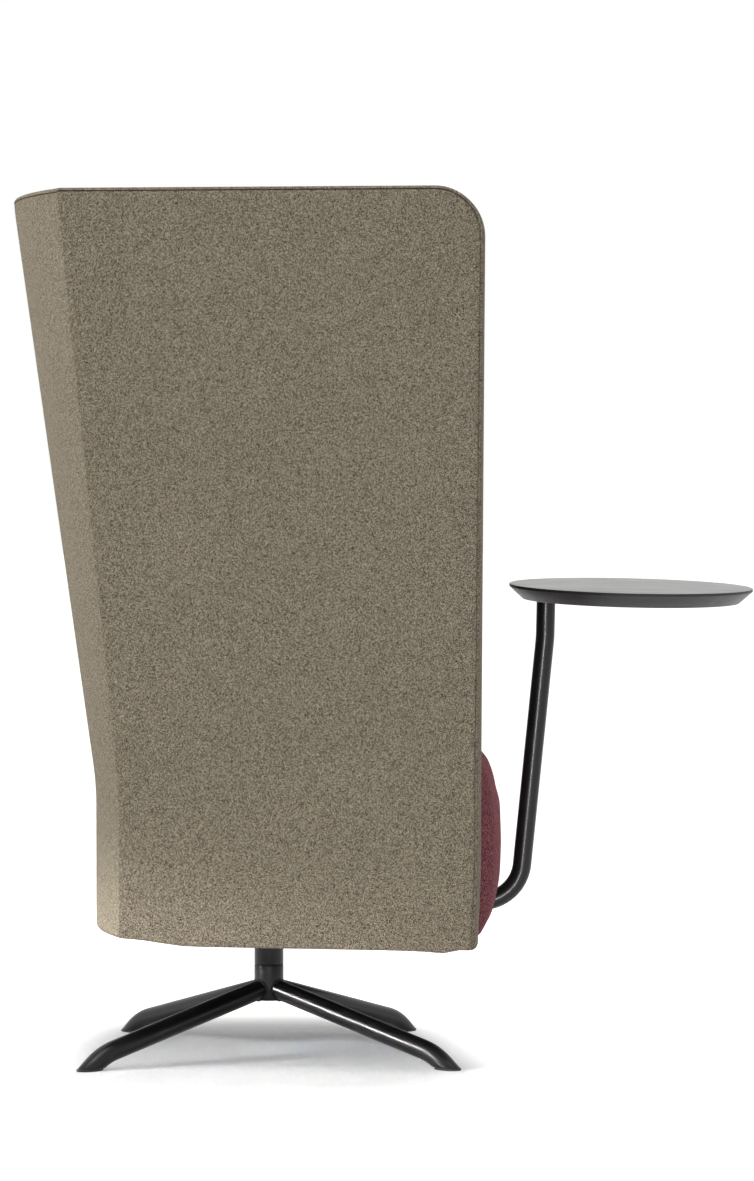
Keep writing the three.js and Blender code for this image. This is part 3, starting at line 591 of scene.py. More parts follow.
@dataclass(frozen=True)
class SpunCloth:
    """Spunbonded dust cloth: black, thin, with a pressed dot pattern."""

    name: str

    def build(self) -> Material:
        """Makes the material: dots 2 mm apart."""
        material, tree, place = new_material(self.name)
        dots = add_node(
            tree,
            "ShaderNodeTexVoronoi",
            {"feature": "F1"},
            {"Vector": place, "Scale": 1 / 0.002, "Randomness": 0.1},
        )
        colour = add_node(
            tree,
            "ShaderNodeValToRGB",
            {},
            {"Fac": dots.outputs["Distance"]},
            {0.2: "#171718", 0.5: "#262628"},
        ).outputs["Color"]
        bump = add_node(
            tree,
            "ShaderNodeBump",
            {},
            {"Strength": 0.3, "Distance": 0.0003, "Height": dots.outputs["Distance"]},
        )
        surface(tree, {"Base Color": colour, "Roughness": 0.9, "Normal": bump.outputs["Normal"]})
        return material


def make_finishes() -> Finishes:
    """Builds the material of each of the record's slots, and those of the tablet's bevel and rim."""
    return {
        "shell_fabric": MelangeWool("wool_felt_taupe", "#2F261B", "#6B6151", "#BFB49F").build(),
        "seat_fabric": MelangeWool("wool_felt_burgundy", "#280C11", "#6A2F35", "#B8767D", sewn=True).build(),
        "painted_steel": PowderCoat("powder_coated_steel", "#0D0D0E", "#131314", 0.34).build(),
        "zinc_steel": ZincPlate("zinc_plated_steel").build(),
        "black_nylon": MouldedNylon("moulded_nylon").build(),
        "plywood": BirchPlywood("birch_plywood").build(),
        "base_cloth": SpunCloth("spunbonded_cloth").build(),
        "table_laminate": StainedAsh("grained_grey_laminate", "#828281", "#B6B6B5", 0.40, 0.35).build(),
        "table_edge": StainedAsh("stained_black_edge", "#212121", "#2E2E2D", 0.42, 0.2).build(),
        "table_band": StainedAsh("black_edge_band", "#0B0B0B", "#111111", 0.5, 0.1).build(),
    }


def leave_edit() -> None:
    """Goes back to object mode."""
    bpy.ops.object.mode_set(mode="OBJECT")


def clear_selection() -> None:
    """Leaves nothing selected, in object mode."""
    if bpy.context.object is not None and bpy.context.object.mode != "OBJECT":
        leave_edit()
    for other in bpy.context.selected_objects:
        other.select_set(False)


def take(obj: Piece) -> None:
    """Selects one object alone and makes it active, in object mode."""
    clear_selection()
    obj.select_set(True)
    bpy.context.view_layer.objects.active = obj


def primitive(name: str, add: Callable[..., object], **settings: object) -> Piece:
    """Adds a mesh primitive and puts its place in its mesh.

    Args:
        name: The piece's name.
        add: The operator that adds it.
        settings: The operator's settings.

    Returns:
        The new piece.
    """
    clear_selection()
    add(**settings)
    obj = bpy.context.object
    obj.name = name
    obj.data.name = name
    bpy.ops.object.transform_apply(location=True, rotation=True, scale=True)
    return obj


def modify(obj: Piece, kind: str, **settings: object) -> None:
    """Adds a modifier to a piece and applies it.

    Args:
        obj: The piece.
        kind: The modifier's type name.
        settings: Values for the modifier's properties.
    """
    take(obj)
    modifier = obj.modifiers.new(kind.lower(), kind)
    for name, value in settings.items():
        setattr(modifier, name, value)
    bpy.ops.object.modifier_apply(modifier=modifier.name)


def edit_all(obj: Piece, mode: str = "FACE") -> None:
    """Enters edit mode with everything selected.

    Args:
        obj: The piece.
        mode: FACE or EDGE, for what is selected.
    """
    take(obj)
    bpy.ops.object.mode_set(mode="EDIT")
    bpy.ops.mesh.select_mode(type=mode)
    bpy.ops.mesh.select_all(action="SELECT")


def face_outwards(obj: Piece) -> None:
    """Turns a piece's faces outwards."""
    edit_all(obj)
    bpy.ops.mesh.normals_make_consistent(inside=False)
    leave_edit()


def deselect(obj: Piece, faces: bool) -> None:
    """Takes a piece with nothing on it selected.

    Args:
        obj: The piece.
        faces: Whether faces are selected next, or else edges.
    """
    take(obj)
    bpy.context.tool_settings.mesh_select_mode = (False, not faces, faces)
    bpy.ops.object.mode_set(mode="EDIT")
    bpy.ops.mesh.select_all(action="DESELECT")
    leave_edit()


def edit_faces(obj: Piece, test: Test) -> bool:
    """Enters edit mode with the faces selected whose centre and normal pass a test.

    Args:
        obj: The piece.
        test: Says from a face's centre and normal whether it is selected.

    Returns:
        Whether there are any.
    """
    deselect(obj, faces=True)
    for face in obj.data.polygons:
        face.select = test(face.center, face.normal)
    found = any(face.select for face in obj.data.polygons)
    bpy.ops.object.mode_set(mode="EDIT")
    return found


def edit_edges(obj: Piece, test: Test) -> bool:
    """Enters edit mode with the edges selected whose two ends pass a test.

    Args:
        obj: The piece.
        test: Says from an edge's two ends whether it is selected.

    Returns:
        Whether there are any.
    """
    deselect(obj, faces=False)
    points = [v.co for v in obj.data.vertices]
    for edge in obj.data.edges:
        edge.select = test(points[edge.vertices[0]], points[edge.vertices[1]])
    found = any(edge.select for edge in obj.data.edges)
    bpy.ops.object.mode_set(mode="EDIT")
    return found


def lies(x: float | None = None, y: float | None = None, z: float | None = None) -> Test:
    """Makes a test that finds the edges that lie wholly in some planes.

    Args:
        x: Where a plane across X lies, if there is one.
        y: Where a plane across Y lies, if there is one.
        z: Where a plane across Z lies, if there is one.

    Returns:
        The test, on an edge's two ends.
    """
    planes = [(axis, place) for axis, place in enumerate((x, y, z)) if place is not None]

    def test(a: Vector, b: Vector) -> bool:
        """Says whether both ends lie in every plane."""
        return all(abs(p[axis] - place) < NEAR for p in (a, b) for axis, place in planes)

    return test


def is_level(a: Vector, b: Vector) -> bool:
    """Finds the edges that run level."""
    return abs(a.z - b.z) < 1e-6


def round_edges(obj: Piece, test: Test, radius: float, segments: int) -> None:
    """Bevels the edges that pass a test.

    Args:
        obj: The piece.
        test: Says from an edge's two ends whether it is rounded.
        radius: The rounding, in metres.
        segments: The number of faces across it.
    """
    if edit_edges(obj, test):
        bpy.ops.mesh.bevel(offset=radius, segments=segments, profile=0.5, affect="EDGES", clamp_overlap=False)
    leave_edit()


def slice_at(obj: Piece, axis: int, places: Iterable[float]) -> None:
    """Cuts edges across a piece where it has to follow a curve.

    Args:
        obj: The piece.
        axis: 0, 1 or 2 for planes across X, Y or Z.
        places: Where the planes lie.
    """
    normal = [float(k == axis) for k in range(3)]
    for place in places:
        edit_all(obj)
        bpy.ops.mesh.bisect(plane_co=[place * share for share in normal], plane_no=normal)
    leave_edit()


def carve(obj: Piece, cutter: Piece) -> None:
    """Takes a cutter's space out of a piece and removes the cutter."""
    modify(obj, "BOOLEAN", operation="DIFFERENCE", solver="EXACT", object=cutter)
    bpy.data.objects.remove(cutter)


def tidy_surface(obj: Piece, angle: float = 40.0) -> None:
    """Merges doubled points, turns faces outwards and shades smooth up to an angle in degrees."""
    edit_all(obj)
    bpy.ops.mesh.remove_doubles(threshold=NEAR)
    bpy.ops.mesh.select_all(action="SELECT")
    bpy.ops.mesh.normals_make_consistent(inside=False)
    leave_edit()
    bpy.ops.object.shade_smooth_by_angle(angle=math.radians(angle))


def copy_of(mesh: bpy.types.Mesh, name: str) -> Piece:
    """Makes a piece with its own copy of a mesh."""
    copy = bpy.data.objects.new(name, mesh.copy())
    copy.data.name = name
    bpy.context.scene.collection.objects.link(copy)
    return copy


def both_sides(right: Piece) -> list[tuple[Piece, Side]]:
    """Copies a piece of the sitter's right to the left.

    Args:
        right: The piece, with right in its name.

    Returns:
        The two pieces, each with its side.
    """
    left = copy_of(right.data, right.name.replace(Side.RIGHT.value, Side.LEFT.value))
    for vertex in left.data.vertices:
        vertex.co.y = 2 * COLUMN.y - vertex.co.y
    left.data.flip_normals()
    return [(right, Side.RIGHT), (left, Side.LEFT)]


def flat_board(
    name: str, low: tuple[float, float, float], high: tuple[float, float, float], corner: float = 0.0
) -> Piece:
    """Makes a flat board between two corners of a pattern.

    Args:
        name: The board's name.
        low: Its lowest corner.
        high: Its highest corner.
        corner: The rounding of its front top corner, or 0.

    Returns:
        The board.
    """
    middle = [(a + b) / 2 for a, b in zip(low, high)]
    extent = [b - a for a, b in zip(low, high)]
    obj = primitive(name, bpy.ops.mesh.primitive_cube_add, size=1, location=middle, scale=extent)
    if corner > 0:
        round_edges(obj, lies(x=low[0], z=high[2]), corner, 16)
    return obj


def dress(obj: Piece, finishes: Finishes, body: Body, slot: str, *nodes: str) -> None:
    """Gives a piece its finish, its body and the CAD nodes that it stands for."""
    obj.data.materials.clear()
    obj.data.materials.append(finishes[slot])
    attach(obj, body.value)
    if nodes:
        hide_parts(*nodes)


@dataclass(frozen=True)
class Plan:
    """The shell's outer outline at one height, on the sitter's right, from the column axis."""

    front: Vector
    seam: Vector
    back_radius: float
    back_centre: float

    @property
    def along(self) -> Vector:
        """The wing's direction, from the corner seam to the front edge."""
        return (self.front - self.seam).normalized()

    @property
    def inward(self) -> Vector:
        """The direction square to the wing, towards the sitter."""
        return Vector((-self.along.y, self.along.x))

    @property
    def length(self) -> float:
        """The wing's length."""
        return (self.front - self.seam).length

    def corner(self, depth: float) -> Vector:
        """Where the wing's face and the back's face meet at one depth."""
        start = self.seam + self.inward * depth - Vector((self.back_centre, 0))
        half = start.dot(self.along)
        reach = self.back_radius - depth
        forward = -half - math.sqrt(half**2 - start.length_squared + reach**2)
        return self.seam + self.inward * depth + self.along * forward


@dataclass(frozen=True)
class ShellOutline:
    """The flared, creased outline that the padded walls follow, as the part's source has it.

    The low and top figures are its plan below the crease and at the top. Panel, straight and half
    are the flat pattern's: a wing's length, the stretch behind its front edge that isn't scaled, and
    half the back's width. The hem, tuck and foot figures shape the padding's lower edge.
    """

    bottom: float = 0.176
    crease: float = 0.390
    blend: float = 0.030
    top: float = 1.229
    low_front: tuple[float, float] = (0.288, -0.318)
    low_seam: tuple[float, float] = (-0.209, -0.215)
    low_back: float = 0.249
    top_front: tuple[float, float] = (0.295, -0.353)
    top_seam: tuple[float, float] = (-0.292, -0.285)
    top_back: float = 0.367
    panel: float = 0.590
    straight: float = 0.100
    half: float = 0.250
    hem: float = 0.060
    rear_lift: float = 0.010
    rear_lift_length: float = 0.125
    hem_steps: tuple[tuple[float, float], ...] = (
        (0.0, 0.0028),
        (0.020, 0.0026),
        (0.044, -0.0022),
        (0.075, -0.0006),
        (0.105, 0.0),
    )
    tuck: float = 0.0045
    pull: float = 0.0010
    foot_round: float = 0.008
    foot_back: float = 0.003
    tuck_top: float = 0.310
    tuck_height: float = 0.120

    def lean(self, height: float) -> float:
        """How far up the leaning part a height is, from 0 at the crease to 1 at the top."""
        rise = height - self.crease
        full = self.top - self.crease
        if rise <= -self.blend:
            return 0.0
        if rise >= self.blend:
            return rise / full
        return (rise + self.blend) ** 2 / (4 * self.blend) / full

    @functools.lru_cache(maxsize=4096)
    def plan(self, height: float) -> Plan:
        """The outline at a height."""
        share = self.lean(height)
        front = Vector(self.low_front).lerp(Vector(self.top_front), share)
        seam = Vector(self.low_seam).lerp(Vector(self.top_seam), share)
        reach = self.low_back + (self.top_back - self.low_back) * share
        sagitta = reach + seam.x
        radius = (seam.y**2 + sagitta**2) / (2 * sagitta)
        return Plan(front, seam, radius, radius - reach)

    def rows(self) -> list[float]:
        """The heights where a wall is sliced: close at the hem and at the crease."""
        low = [self.bottom + rise for rise in (0.003, 0.007, 0.018, 0.036, 0.06, 0.09, 0.12, 0.15)]
        crease = [self.crease + share * self.blend for share in (-1, -0.6, -0.2, 0.2, 0.6, 1)]
        return low + crease + [self.crease + self.blend + 0.06 * k for k in range(1, 13)]

    def wing_columns(self) -> list[float]:
        """Where a wing is sliced behind its straight stretch."""
        return [self.straight + 0.035 * k for k in range(14)]

    def back_columns(self) -> list[float]:
        """Where the back is sliced."""
        return [self.half * (k / 14 - 1) for k in range(1, 28)]

    def hem_height(self, height: float, lift: float) -> float:
        """Raises a height near the lower edge by a lift that fades out at the top of the hem."""
        rise = height - self.bottom
        if rise >= self.hem:
            return height
        return height + lift * (1 - max(rise, 0.0) / self.hem)

    def wing_lift(self, back: float) -> float:
        """How far a wing's lower edge is drawn up, at a distance back from the front edge."""
        share = (back - (self.panel - self.rear_lift_length)) / self.rear_lift_length
        if share > 0:
            return self.rear_lift * ease(share)
        for (near, low), (far, high) in zip(self.hem_steps, self.hem_steps[1:]):
            if near <= back <= far:
                return low + (high - low) * ease((back - near) / (far - near))
        return 0.0

    def front_tuck(self, back: float, height: float) -> float:
        """How far the padding round the front edge is pulled back near its lower end."""
        share = min(max((self.tuck_top - height) / self.tuck_height, 0.0), 1.0)
        near = max(0.0, 1 - max(back, 0.0) / self.straight)
        foot = max(0.0, 1 - (height - self.bottom) / self.foot_round) if back < self.straight / 2 else 0.0
        return (self.pull + self.tuck * share**1.4 + self.foot_back * foot**2) * near

    def on_wing(self, point: Vector, gap: float) -> Vector:
        """Takes a point of a wing's flat pattern to the chair.

        Args:
            point: X is the distance back from the front edge, Y the depth in and Z the height.
            gap: The room left at the corner seam.

        Returns:
            The point in the row frame, on the sitter's right.
        """
        plan = self.plan(round(point.z, 6))
        base = plan.seam + plan.inward * point.y
        back = point.x
        if back > self.straight:
            rear = (plan.corner(point.y) - base).dot(plan.along) + gap
            room = plan.length - self.straight - rear
            back = self.straight + (back - self.straight) / (self.panel - self.straight) * room
        back += self.front_tuck(point.x, point.z)
        place = base + plan.along * (plan.length - back)
        height = self.hem_height(point.z, self.wing_lift(point.x))
        return Vector((place.x, place.y, height)) + COLUMN

    def on_back(self, point: Vector, gap: float) -> Vector:
        """Takes a point of the back's flat pattern to the chair.

        Args:
            point: X runs across, from minus half to half, Y is the depth in and Z the height.
            gap: The room left at the corner seam.

        Returns:
            The point in the row frame.
        """
        plan = self.plan(round(point.z, 6))
        corner = plan.corner(point.y)
        angle = math.atan2(-corner.y, plan.back_centre - corner.x) - gap / plan.back_radius
        turn = angle * point.x / self.half
        reach = plan.back_radius - point.y
        height = self.hem_height(point.z, self.rear_lift)
        return Vector((plan.back_centre - reach * math.cos(turn), -reach * math.sin(turn), height)) + COLUMN

    def wrap(
        self,
        obj: Piece,
        place: Callable[[Vector, float], Vector],
        gap: float,
        cuts: tuple[Iterable[float], Iterable[float]],
    ) -> Piece:
        """Slices a flat pattern where it bends and wraps it on the shell.

        Args:
            obj: The pattern.
            place: One of the two mappings above.
            gap: The room left at the corner seams.
            cuts: The heights and the columns where it is sliced.

        Returns:
            The same piece.
        """
        slice_at(obj, 2, cuts[0])
        slice_at(obj, 0, cuts[1])
        for vertex in obj.data.vertices:
            vertex.co = place(vertex.co, gap)
        tidy_surface(obj)
        return obj


@dataclass
class PaddedShell:
    """The three padded walls: outer panels over a lining that wraps the front and top edges.

    The reveals are the width of the lining's rim round the panels. The steps say, ring by ring, how
    far in from its seams a face is inset and how far it rises there.
    """

    outline: ShellOutline
    finishes: Finishes
    wall: float = 0.048
    core: float = 0.0166
    reveal: float = 0.0036
    rear_reveal: float = 0.0052
    recess: float = 0.0004
    corner: float = 0.069
    outer_round: float = 0.0038
    rear_top_round: float = 0.0068
    inner_round: float = 0.016
    panel_round: float = 0.0033
    rear_round: float = 0.0009
    hem_round: float = 0.0045
    hem_wall: float = 0.0022
    hem_lip: float = 0.012
    crown: float = 0.0006
    seam_gap: float = 0.0005
    rear_gap: float = 0.0001
    soft_gap: float = 0.0006
    lip: float = 0.026
    board_top: float = 0.2443
    panel_thickness: float = 0.004
    past: float = 0.01
    hem_columns: tuple[float, ...] = (0.02, 0.044, 0.075)
    panel_steps: tuple[tuple[float, float], ...] = ((0.003, 0.0003), (0.006, 0.0002), (0.012, 0.0001))
    lining_steps: tuple[tuple[float, float], ...] = ((0.006, 0.0006), (0.010, 0.0004), (0.018, 0.0002))

    def turn_under(self, obj: Piece) -> None:
        """Turns a panel's lower edge in under the core, with a rounded fold."""
        low = self.outline.bottom
        slice_at(obj, 2, [low + self.hem_wall])
        edit_faces(obj, lambda c, n: n.y > 0.99 and c.z < low + self.hem_wall)
        bpy.ops.mesh.extrude_region_move(TRANSFORM_OT_translate={"value": (0, self.hem_lip, 0)})
        bpy.ops.mesh.select_all(action="SELECT")
        bpy.ops.mesh.dissolve_limited(angle_limit=math.radians(0.5))
        leave_edit()
        round_edges(obj, lies(y=self.crown, z=low), self.hem_round, 4)

    def crown_face(self, obj: Piece, depth: float, steps: Iterable[tuple[float, float]]) -> None:
        """Raises a face from its seams in narrowing steps, as padding does.

        Args:
            obj: The board.
            depth: Where the face lies.
            steps: For each ring, how far in it goes and how far it rises.
        """
        for inset, rise in steps:
            if edit_faces(obj, lambda c, n: abs(n.y) > 0.99 and abs(c.y - depth) < NEAR):
                bpy.ops.mesh.inset(thickness=inset, depth=rise, use_even_offset=True)
            leave_edit()
            depth += rise * (-1 if depth < self.wall / 2 else 1)

    def rim(self, depth: float) -> Test:
        """Finds a wing's edges at a depth, apart from those at its rear and its hem."""
        flat, rear, hem = lies(y=depth), lies(x=self.outline.panel), lies(z=self.outline.bottom)
        return lambda a, b: flat(a, b) and not rear(a, b) and not hem(a, b)

    def wing_cuts(self) -> tuple[list[float], list[float]]:
        """The heights and the columns where a wing's cover is sliced."""
        return self.outline.rows(), [*self.hem_columns, *self.outline.wing_columns()]

    def wing_lining(self) -> Piece:
        """The padding of the right wing, which wraps its front and top edges."""
        outline, past = self.outline, self.past
        low, high = (0, self.recess, outline.bottom), (outline.panel, self.wall, outline.top)
        obj = flat_board("wing_lining_right", low, high, self.corner)
        round_edges(obj, self.rim(self.recess), self.outer_round, 4)
        round_edges(obj, self.rim(self.wall), self.inner_round, 7)
        low = (self.reveal, -past, outline.bottom - past)
        high = (outline.panel + past, self.core, outline.top - self.reveal)
        carve(obj, flat_board("core_pocket", low, high, self.corner - self.reveal))
        self.crown_face(obj, self.wall, self.lining_steps)
        low = (self.lip + self.soft_gap, -2 * past, outline.bottom - past)
        high = (outline.panel + past, self.wall + past, self.board_top + self.soft_gap)
        carve(obj, flat_board("frame_pocket", low, high))
        return outline.wrap(obj, outline.on_wing, self.soft_gap / 2, self.wing_cuts())

    def wing_panel(self) -> Piece:
        """The outer panel of the right wing."""
        outline = self.outline
        inset = self.reveal + self.seam_gap
        low = (inset, self.crown, outline.bottom)
        high = (outline.panel, self.panel_thickness, outline.top - self.reveal - self.seam_gap)
        obj = flat_board("wing_panel_right", low, high, self.corner - self.reveal - self.seam_gap)
        self.turn_under(obj)
        round_edges(obj, self.rim(self.crown), self.panel_round, 3)
        round_edges(obj, lies(x=outline.panel, y=self.crown), self.rear_round, 2)
        self.crown_face(obj, self.crown, self.panel_steps)
        return outline.wrap(obj, outline.on_wing, self.rear_gap, self.wing_cuts())

    def back_lining(self) -> Piece:
        """The padding of the back, which wraps its top edge."""
        outline, past = self.outline, self.past
        half, bottom = outline.half, self.board_top + self.soft_gap
        obj = flat_board("back_lining", (-half, self.recess, bottom), (half, self.wall, outline.top))
        round_edges(obj, lies(y=self.recess, z=outline.top), self.rear_top_round, 5)
        round_edges(obj, lies(y=self.wall, z=outline.top), self.inner_round, 7)
        high = (half + past, self.core, outline.top - self.rear_reveal)
        carve(obj, flat_board("core_pocket", (-half - past, -past, bottom - past), high))
        self.crown_face(obj, self.wall, self.lining_steps)
        cuts = (outline.rows(), outline.back_columns())
        return outline.wrap(obj, outline.on_back, self.soft_gap / 2, cuts)

    def back_panel(self) -> Piece:
        """The outer panel of the back."""
        outline = self.outline
        half, top = outline.half, outline.top - self.rear_reveal - self.seam_gap
        low, high = (-half, self.crown, outline.bottom), (half, self.panel_thickness, top)
        obj = flat_board("back_panel", low, high)
        left, right = lies(x=half, y=self.crown), lies(x=-half, y=self.crown)
        self.turn_under(obj)
        round_edges(obj, lies(y=self.crown, z=top), self.panel_round, 3)
        round_edges(obj, lambda a, b: left(a, b) or right(a, b), self.rear_round, 2)
        self.crown_face(obj, self.crown, self.panel_steps)
        cuts = (outline.rows(), outline.back_columns())
        return outline.wrap(obj, outline.on_back, self.rear_gap, cuts)

    def build(self) -> list[Piece]:
        """Makes and dresses the walls."""
        made = []
        for maker, node in ((self.wing_lining, "wing_pad"), (self.wing_panel, "wing_cover")):
            made += [(obj, f"{node}_{side.value}") for obj, side in both_sides(maker())]
        made += [(self.back_lining(), "back_pad"), (self.back_panel(), "back_cover")]
        for obj, node in made:
            dress(obj, self.finishes, Body.SEAT, "shell_fabric", node)
        return [obj for obj, _ in made]


@dataclass
class WallFrame:
    """The plywood boards inside the walls, the rails on them and the cloth under the seat.

    Core and rail are the depths in from the outer face that the boards and the rails take up. The
    rings are the cloth's, as shares of the way out from its hole to its edge.
    """

    outline: ShellOutline
    finishes: Finishes
    core: tuple[float, float] = (0.0043, 0.0163)
    rail: tuple[float, float] = (0.0166, 0.0366)
    low: float = 0.180
    rail_top: float = 0.226
    inset: float = 0.0088
    corner: float = 0.069
    start: float = 0.0266
    core_gap: float = 0.00015
    rail_gap: float = 0.0003
    eased: float = 0.0012
    cloth_height: float = 0.1785
    cloth: float = 0.0006
    hole: float = 0.032
    cloth_depth: float = 0.0170
    cloth_front: float = 0.2610
    sag: float = 0.0022
    tuck: float = 0.0006
    sides: int = 144
    rings: tuple[float, ...] = (0.0, 0.035, 0.05, 0.2, 0.35, 0.5, 0.65, 0.8, 0.93, 0.965, 1.0)
    folds: tuple[float, ...] = (0.0, 0.035, 0.965, 1.0)

    def rows(self, top: float) -> list[float]:
        """The heights where a board is sliced, up to its top."""
        return [row for row in self.outline.rows() if self.low + 0.002 < row < top - 0.002]

    def gap(self, depths: tuple[float, float]) -> float:
        """The room that a board or a rail leaves at the corner seams."""
        return self.core_gap if depths == self.core else self.rail_gap

    def on_wing(self, name: str, depths: tuple[float, float], spans: tuple[float, float, float]) -> Piece:
        """Makes a board that follows the right wing.

        Args:
            name: Its name.
            depths: From and to which depth in from the outer face it lies.
            spans: Its start behind the front edge, its top and its front top corner's rounding.

        Returns:
            The board.
        """
        outline = self.outline
        begin, top, corner = spans
        obj = flat_board(name, (begin, depths[0], self.low), (outline.panel, depths[1], top), corner)
        ahead = outline.panel - 0.001
        round_edges(obj, lambda a, b: abs(a.y - b.y) < 1e-6 and max(a.x, b.x) < ahead, self.eased, 2)
        return outline.wrap(obj, outline.on_wing, self.gap(depths), (self.rows(top), outline.wing_columns()))

    def on_back(self, name: str, depths: tuple[float, float], top: float) -> Piece:
        """Makes a board that follows the back, up to a height."""
        outline = self.outline
        obj = flat_board(name, (-outline.half, depths[0], self.low), (outline.half, depths[1], top))
        round_edges(obj, lambda a, b: abs(a.y - b.y) < 1e-6 and is_level(a, b), self.eased, 2)
        return outline.wrap(obj, outline.on_back, self.gap(depths), (self.rows(top), outline.back_columns()))

    def cloth_reach(self, angle: float) -> float:
        """How far the base cloth reaches from the column in one direction, in radians."""
        plan = self.outline.plan(self.low)
        ahead = Vector((math.cos(angle), -abs(math.sin(angle))))
        radius = plan.back_radius - self.cloth_depth
        half = -plan.back_centre * ahead.x
        found = [-half + math.sqrt(half**2 - plan.back_centre**2 + radius**2)]
        if ahead.x > 1e-6:
            found.append(self.cloth_front / ahead.x)
        base = plan.seam + plan.inward * self.cloth_depth
        side = ahead.dot(plan.inward)
        if abs(side) > 1e-6 and base.dot(plan.inward) / side > 0:
            found.append(base.dot(plan.inward) / side)
        return min(found)

    def cloth_point(self, angle: float, share: float) -> Vector:
        """Where a point of the base cloth lies: slack in the middle, folded at its edges, on the hem's line.

        Args:
            angle: Its direction from the column, in radians.
            share: How far out it is from the hole to the edge.

        Returns:
            The point in the row frame.
        """
        outline = self.outline
        reach = self.hole + (self.cloth_reach(angle) - self.hole) * share
        spot = Vector((reach * math.cos(angle), reach * math.sin(angle)))
        slack = self.sag * (1 - (2 * share - 1) ** 2) * (1 + 0.35 * math.sin(3 * angle + 1.0))
        fold = self.tuck if share in self.folds else 0.0
        plan = outline.plan(self.low)
        rear = (Vector((spot.x, -abs(spot.y))) - plan.seam).dot(plan.along)
        behind = max(plan.length - rear, 0.0)
        ahead, last = outline.straight, outline.panel
        pattern = ahead + (behind - ahead) * (last - ahead) / (plan.length - ahead)
        lift = max(outline.wing_lift(min(pattern, last)) * share**2, 0.0)
        return Vector((spot.x, spot.y, self.cloth_height - slack - fold + lift)) + COLUMN

    def cloth_sheet(self) -> Piece:
        """Makes the base cloth from rings drawn up a metre apart, so that each is told by its height."""
        obj = primitive(
            "dust_cloth",
            bpy.ops.mesh.primitive_circle_add,
            vertices=self.sides,
            radius=self.hole,
            fill_type="NOTHING",
            location=(0, 0, self.cloth_height),
        )
        edit_all(obj, "EDGE")
        for _ in self.rings[1:]:
            bpy.ops.mesh.extrude_edges_move(TRANSFORM_OT_translate={"value": (0, 0, 1)})
        leave_edit()
        for vertex in obj.data.vertices:
            share = self.rings[round(vertex.co.z - self.cloth_height)]
            vertex.co = self.cloth_point(math.atan2(vertex.co.y, vertex.co.x), share)
        face_outwards(obj)
        modify(obj, "SOLIDIFY", thickness=self.cloth, offset=0)
        tidy_surface(obj)
        dress(obj, self.finishes, Body.SEAT, "base_cloth", "base_cloth")
        return obj

    def build(self) -> list[Piece]:
        """Makes and dresses the boards and the cloth."""
        top = self.outline.top - self.inset
        made = []
        for name, node, depths, spans in (
            ("wing_board_right", "wing_core", self.core, (self.inset, top, self.corner - self.inset)),
            ("side_rail_right", "rail", self.rail, (self.start, self.rail_top, 0.0)),
        ):
            pair = both_sides(self.on_wing(name, depths, spans))
            made += [(obj, f"{node}_{side.value}") for obj, side in pair]
        made.append((self.on_back("back_board", self.core, top), "back_core"))
        made.append((self.on_back("rear_rail", self.rail, self.rail_top), "rail_rear"))
        for obj, node in made:
            dress(obj, self.finishes, Body.SEAT, "plywood", node)
        return [*(obj for obj, _ in made), self.cloth_sheet()]


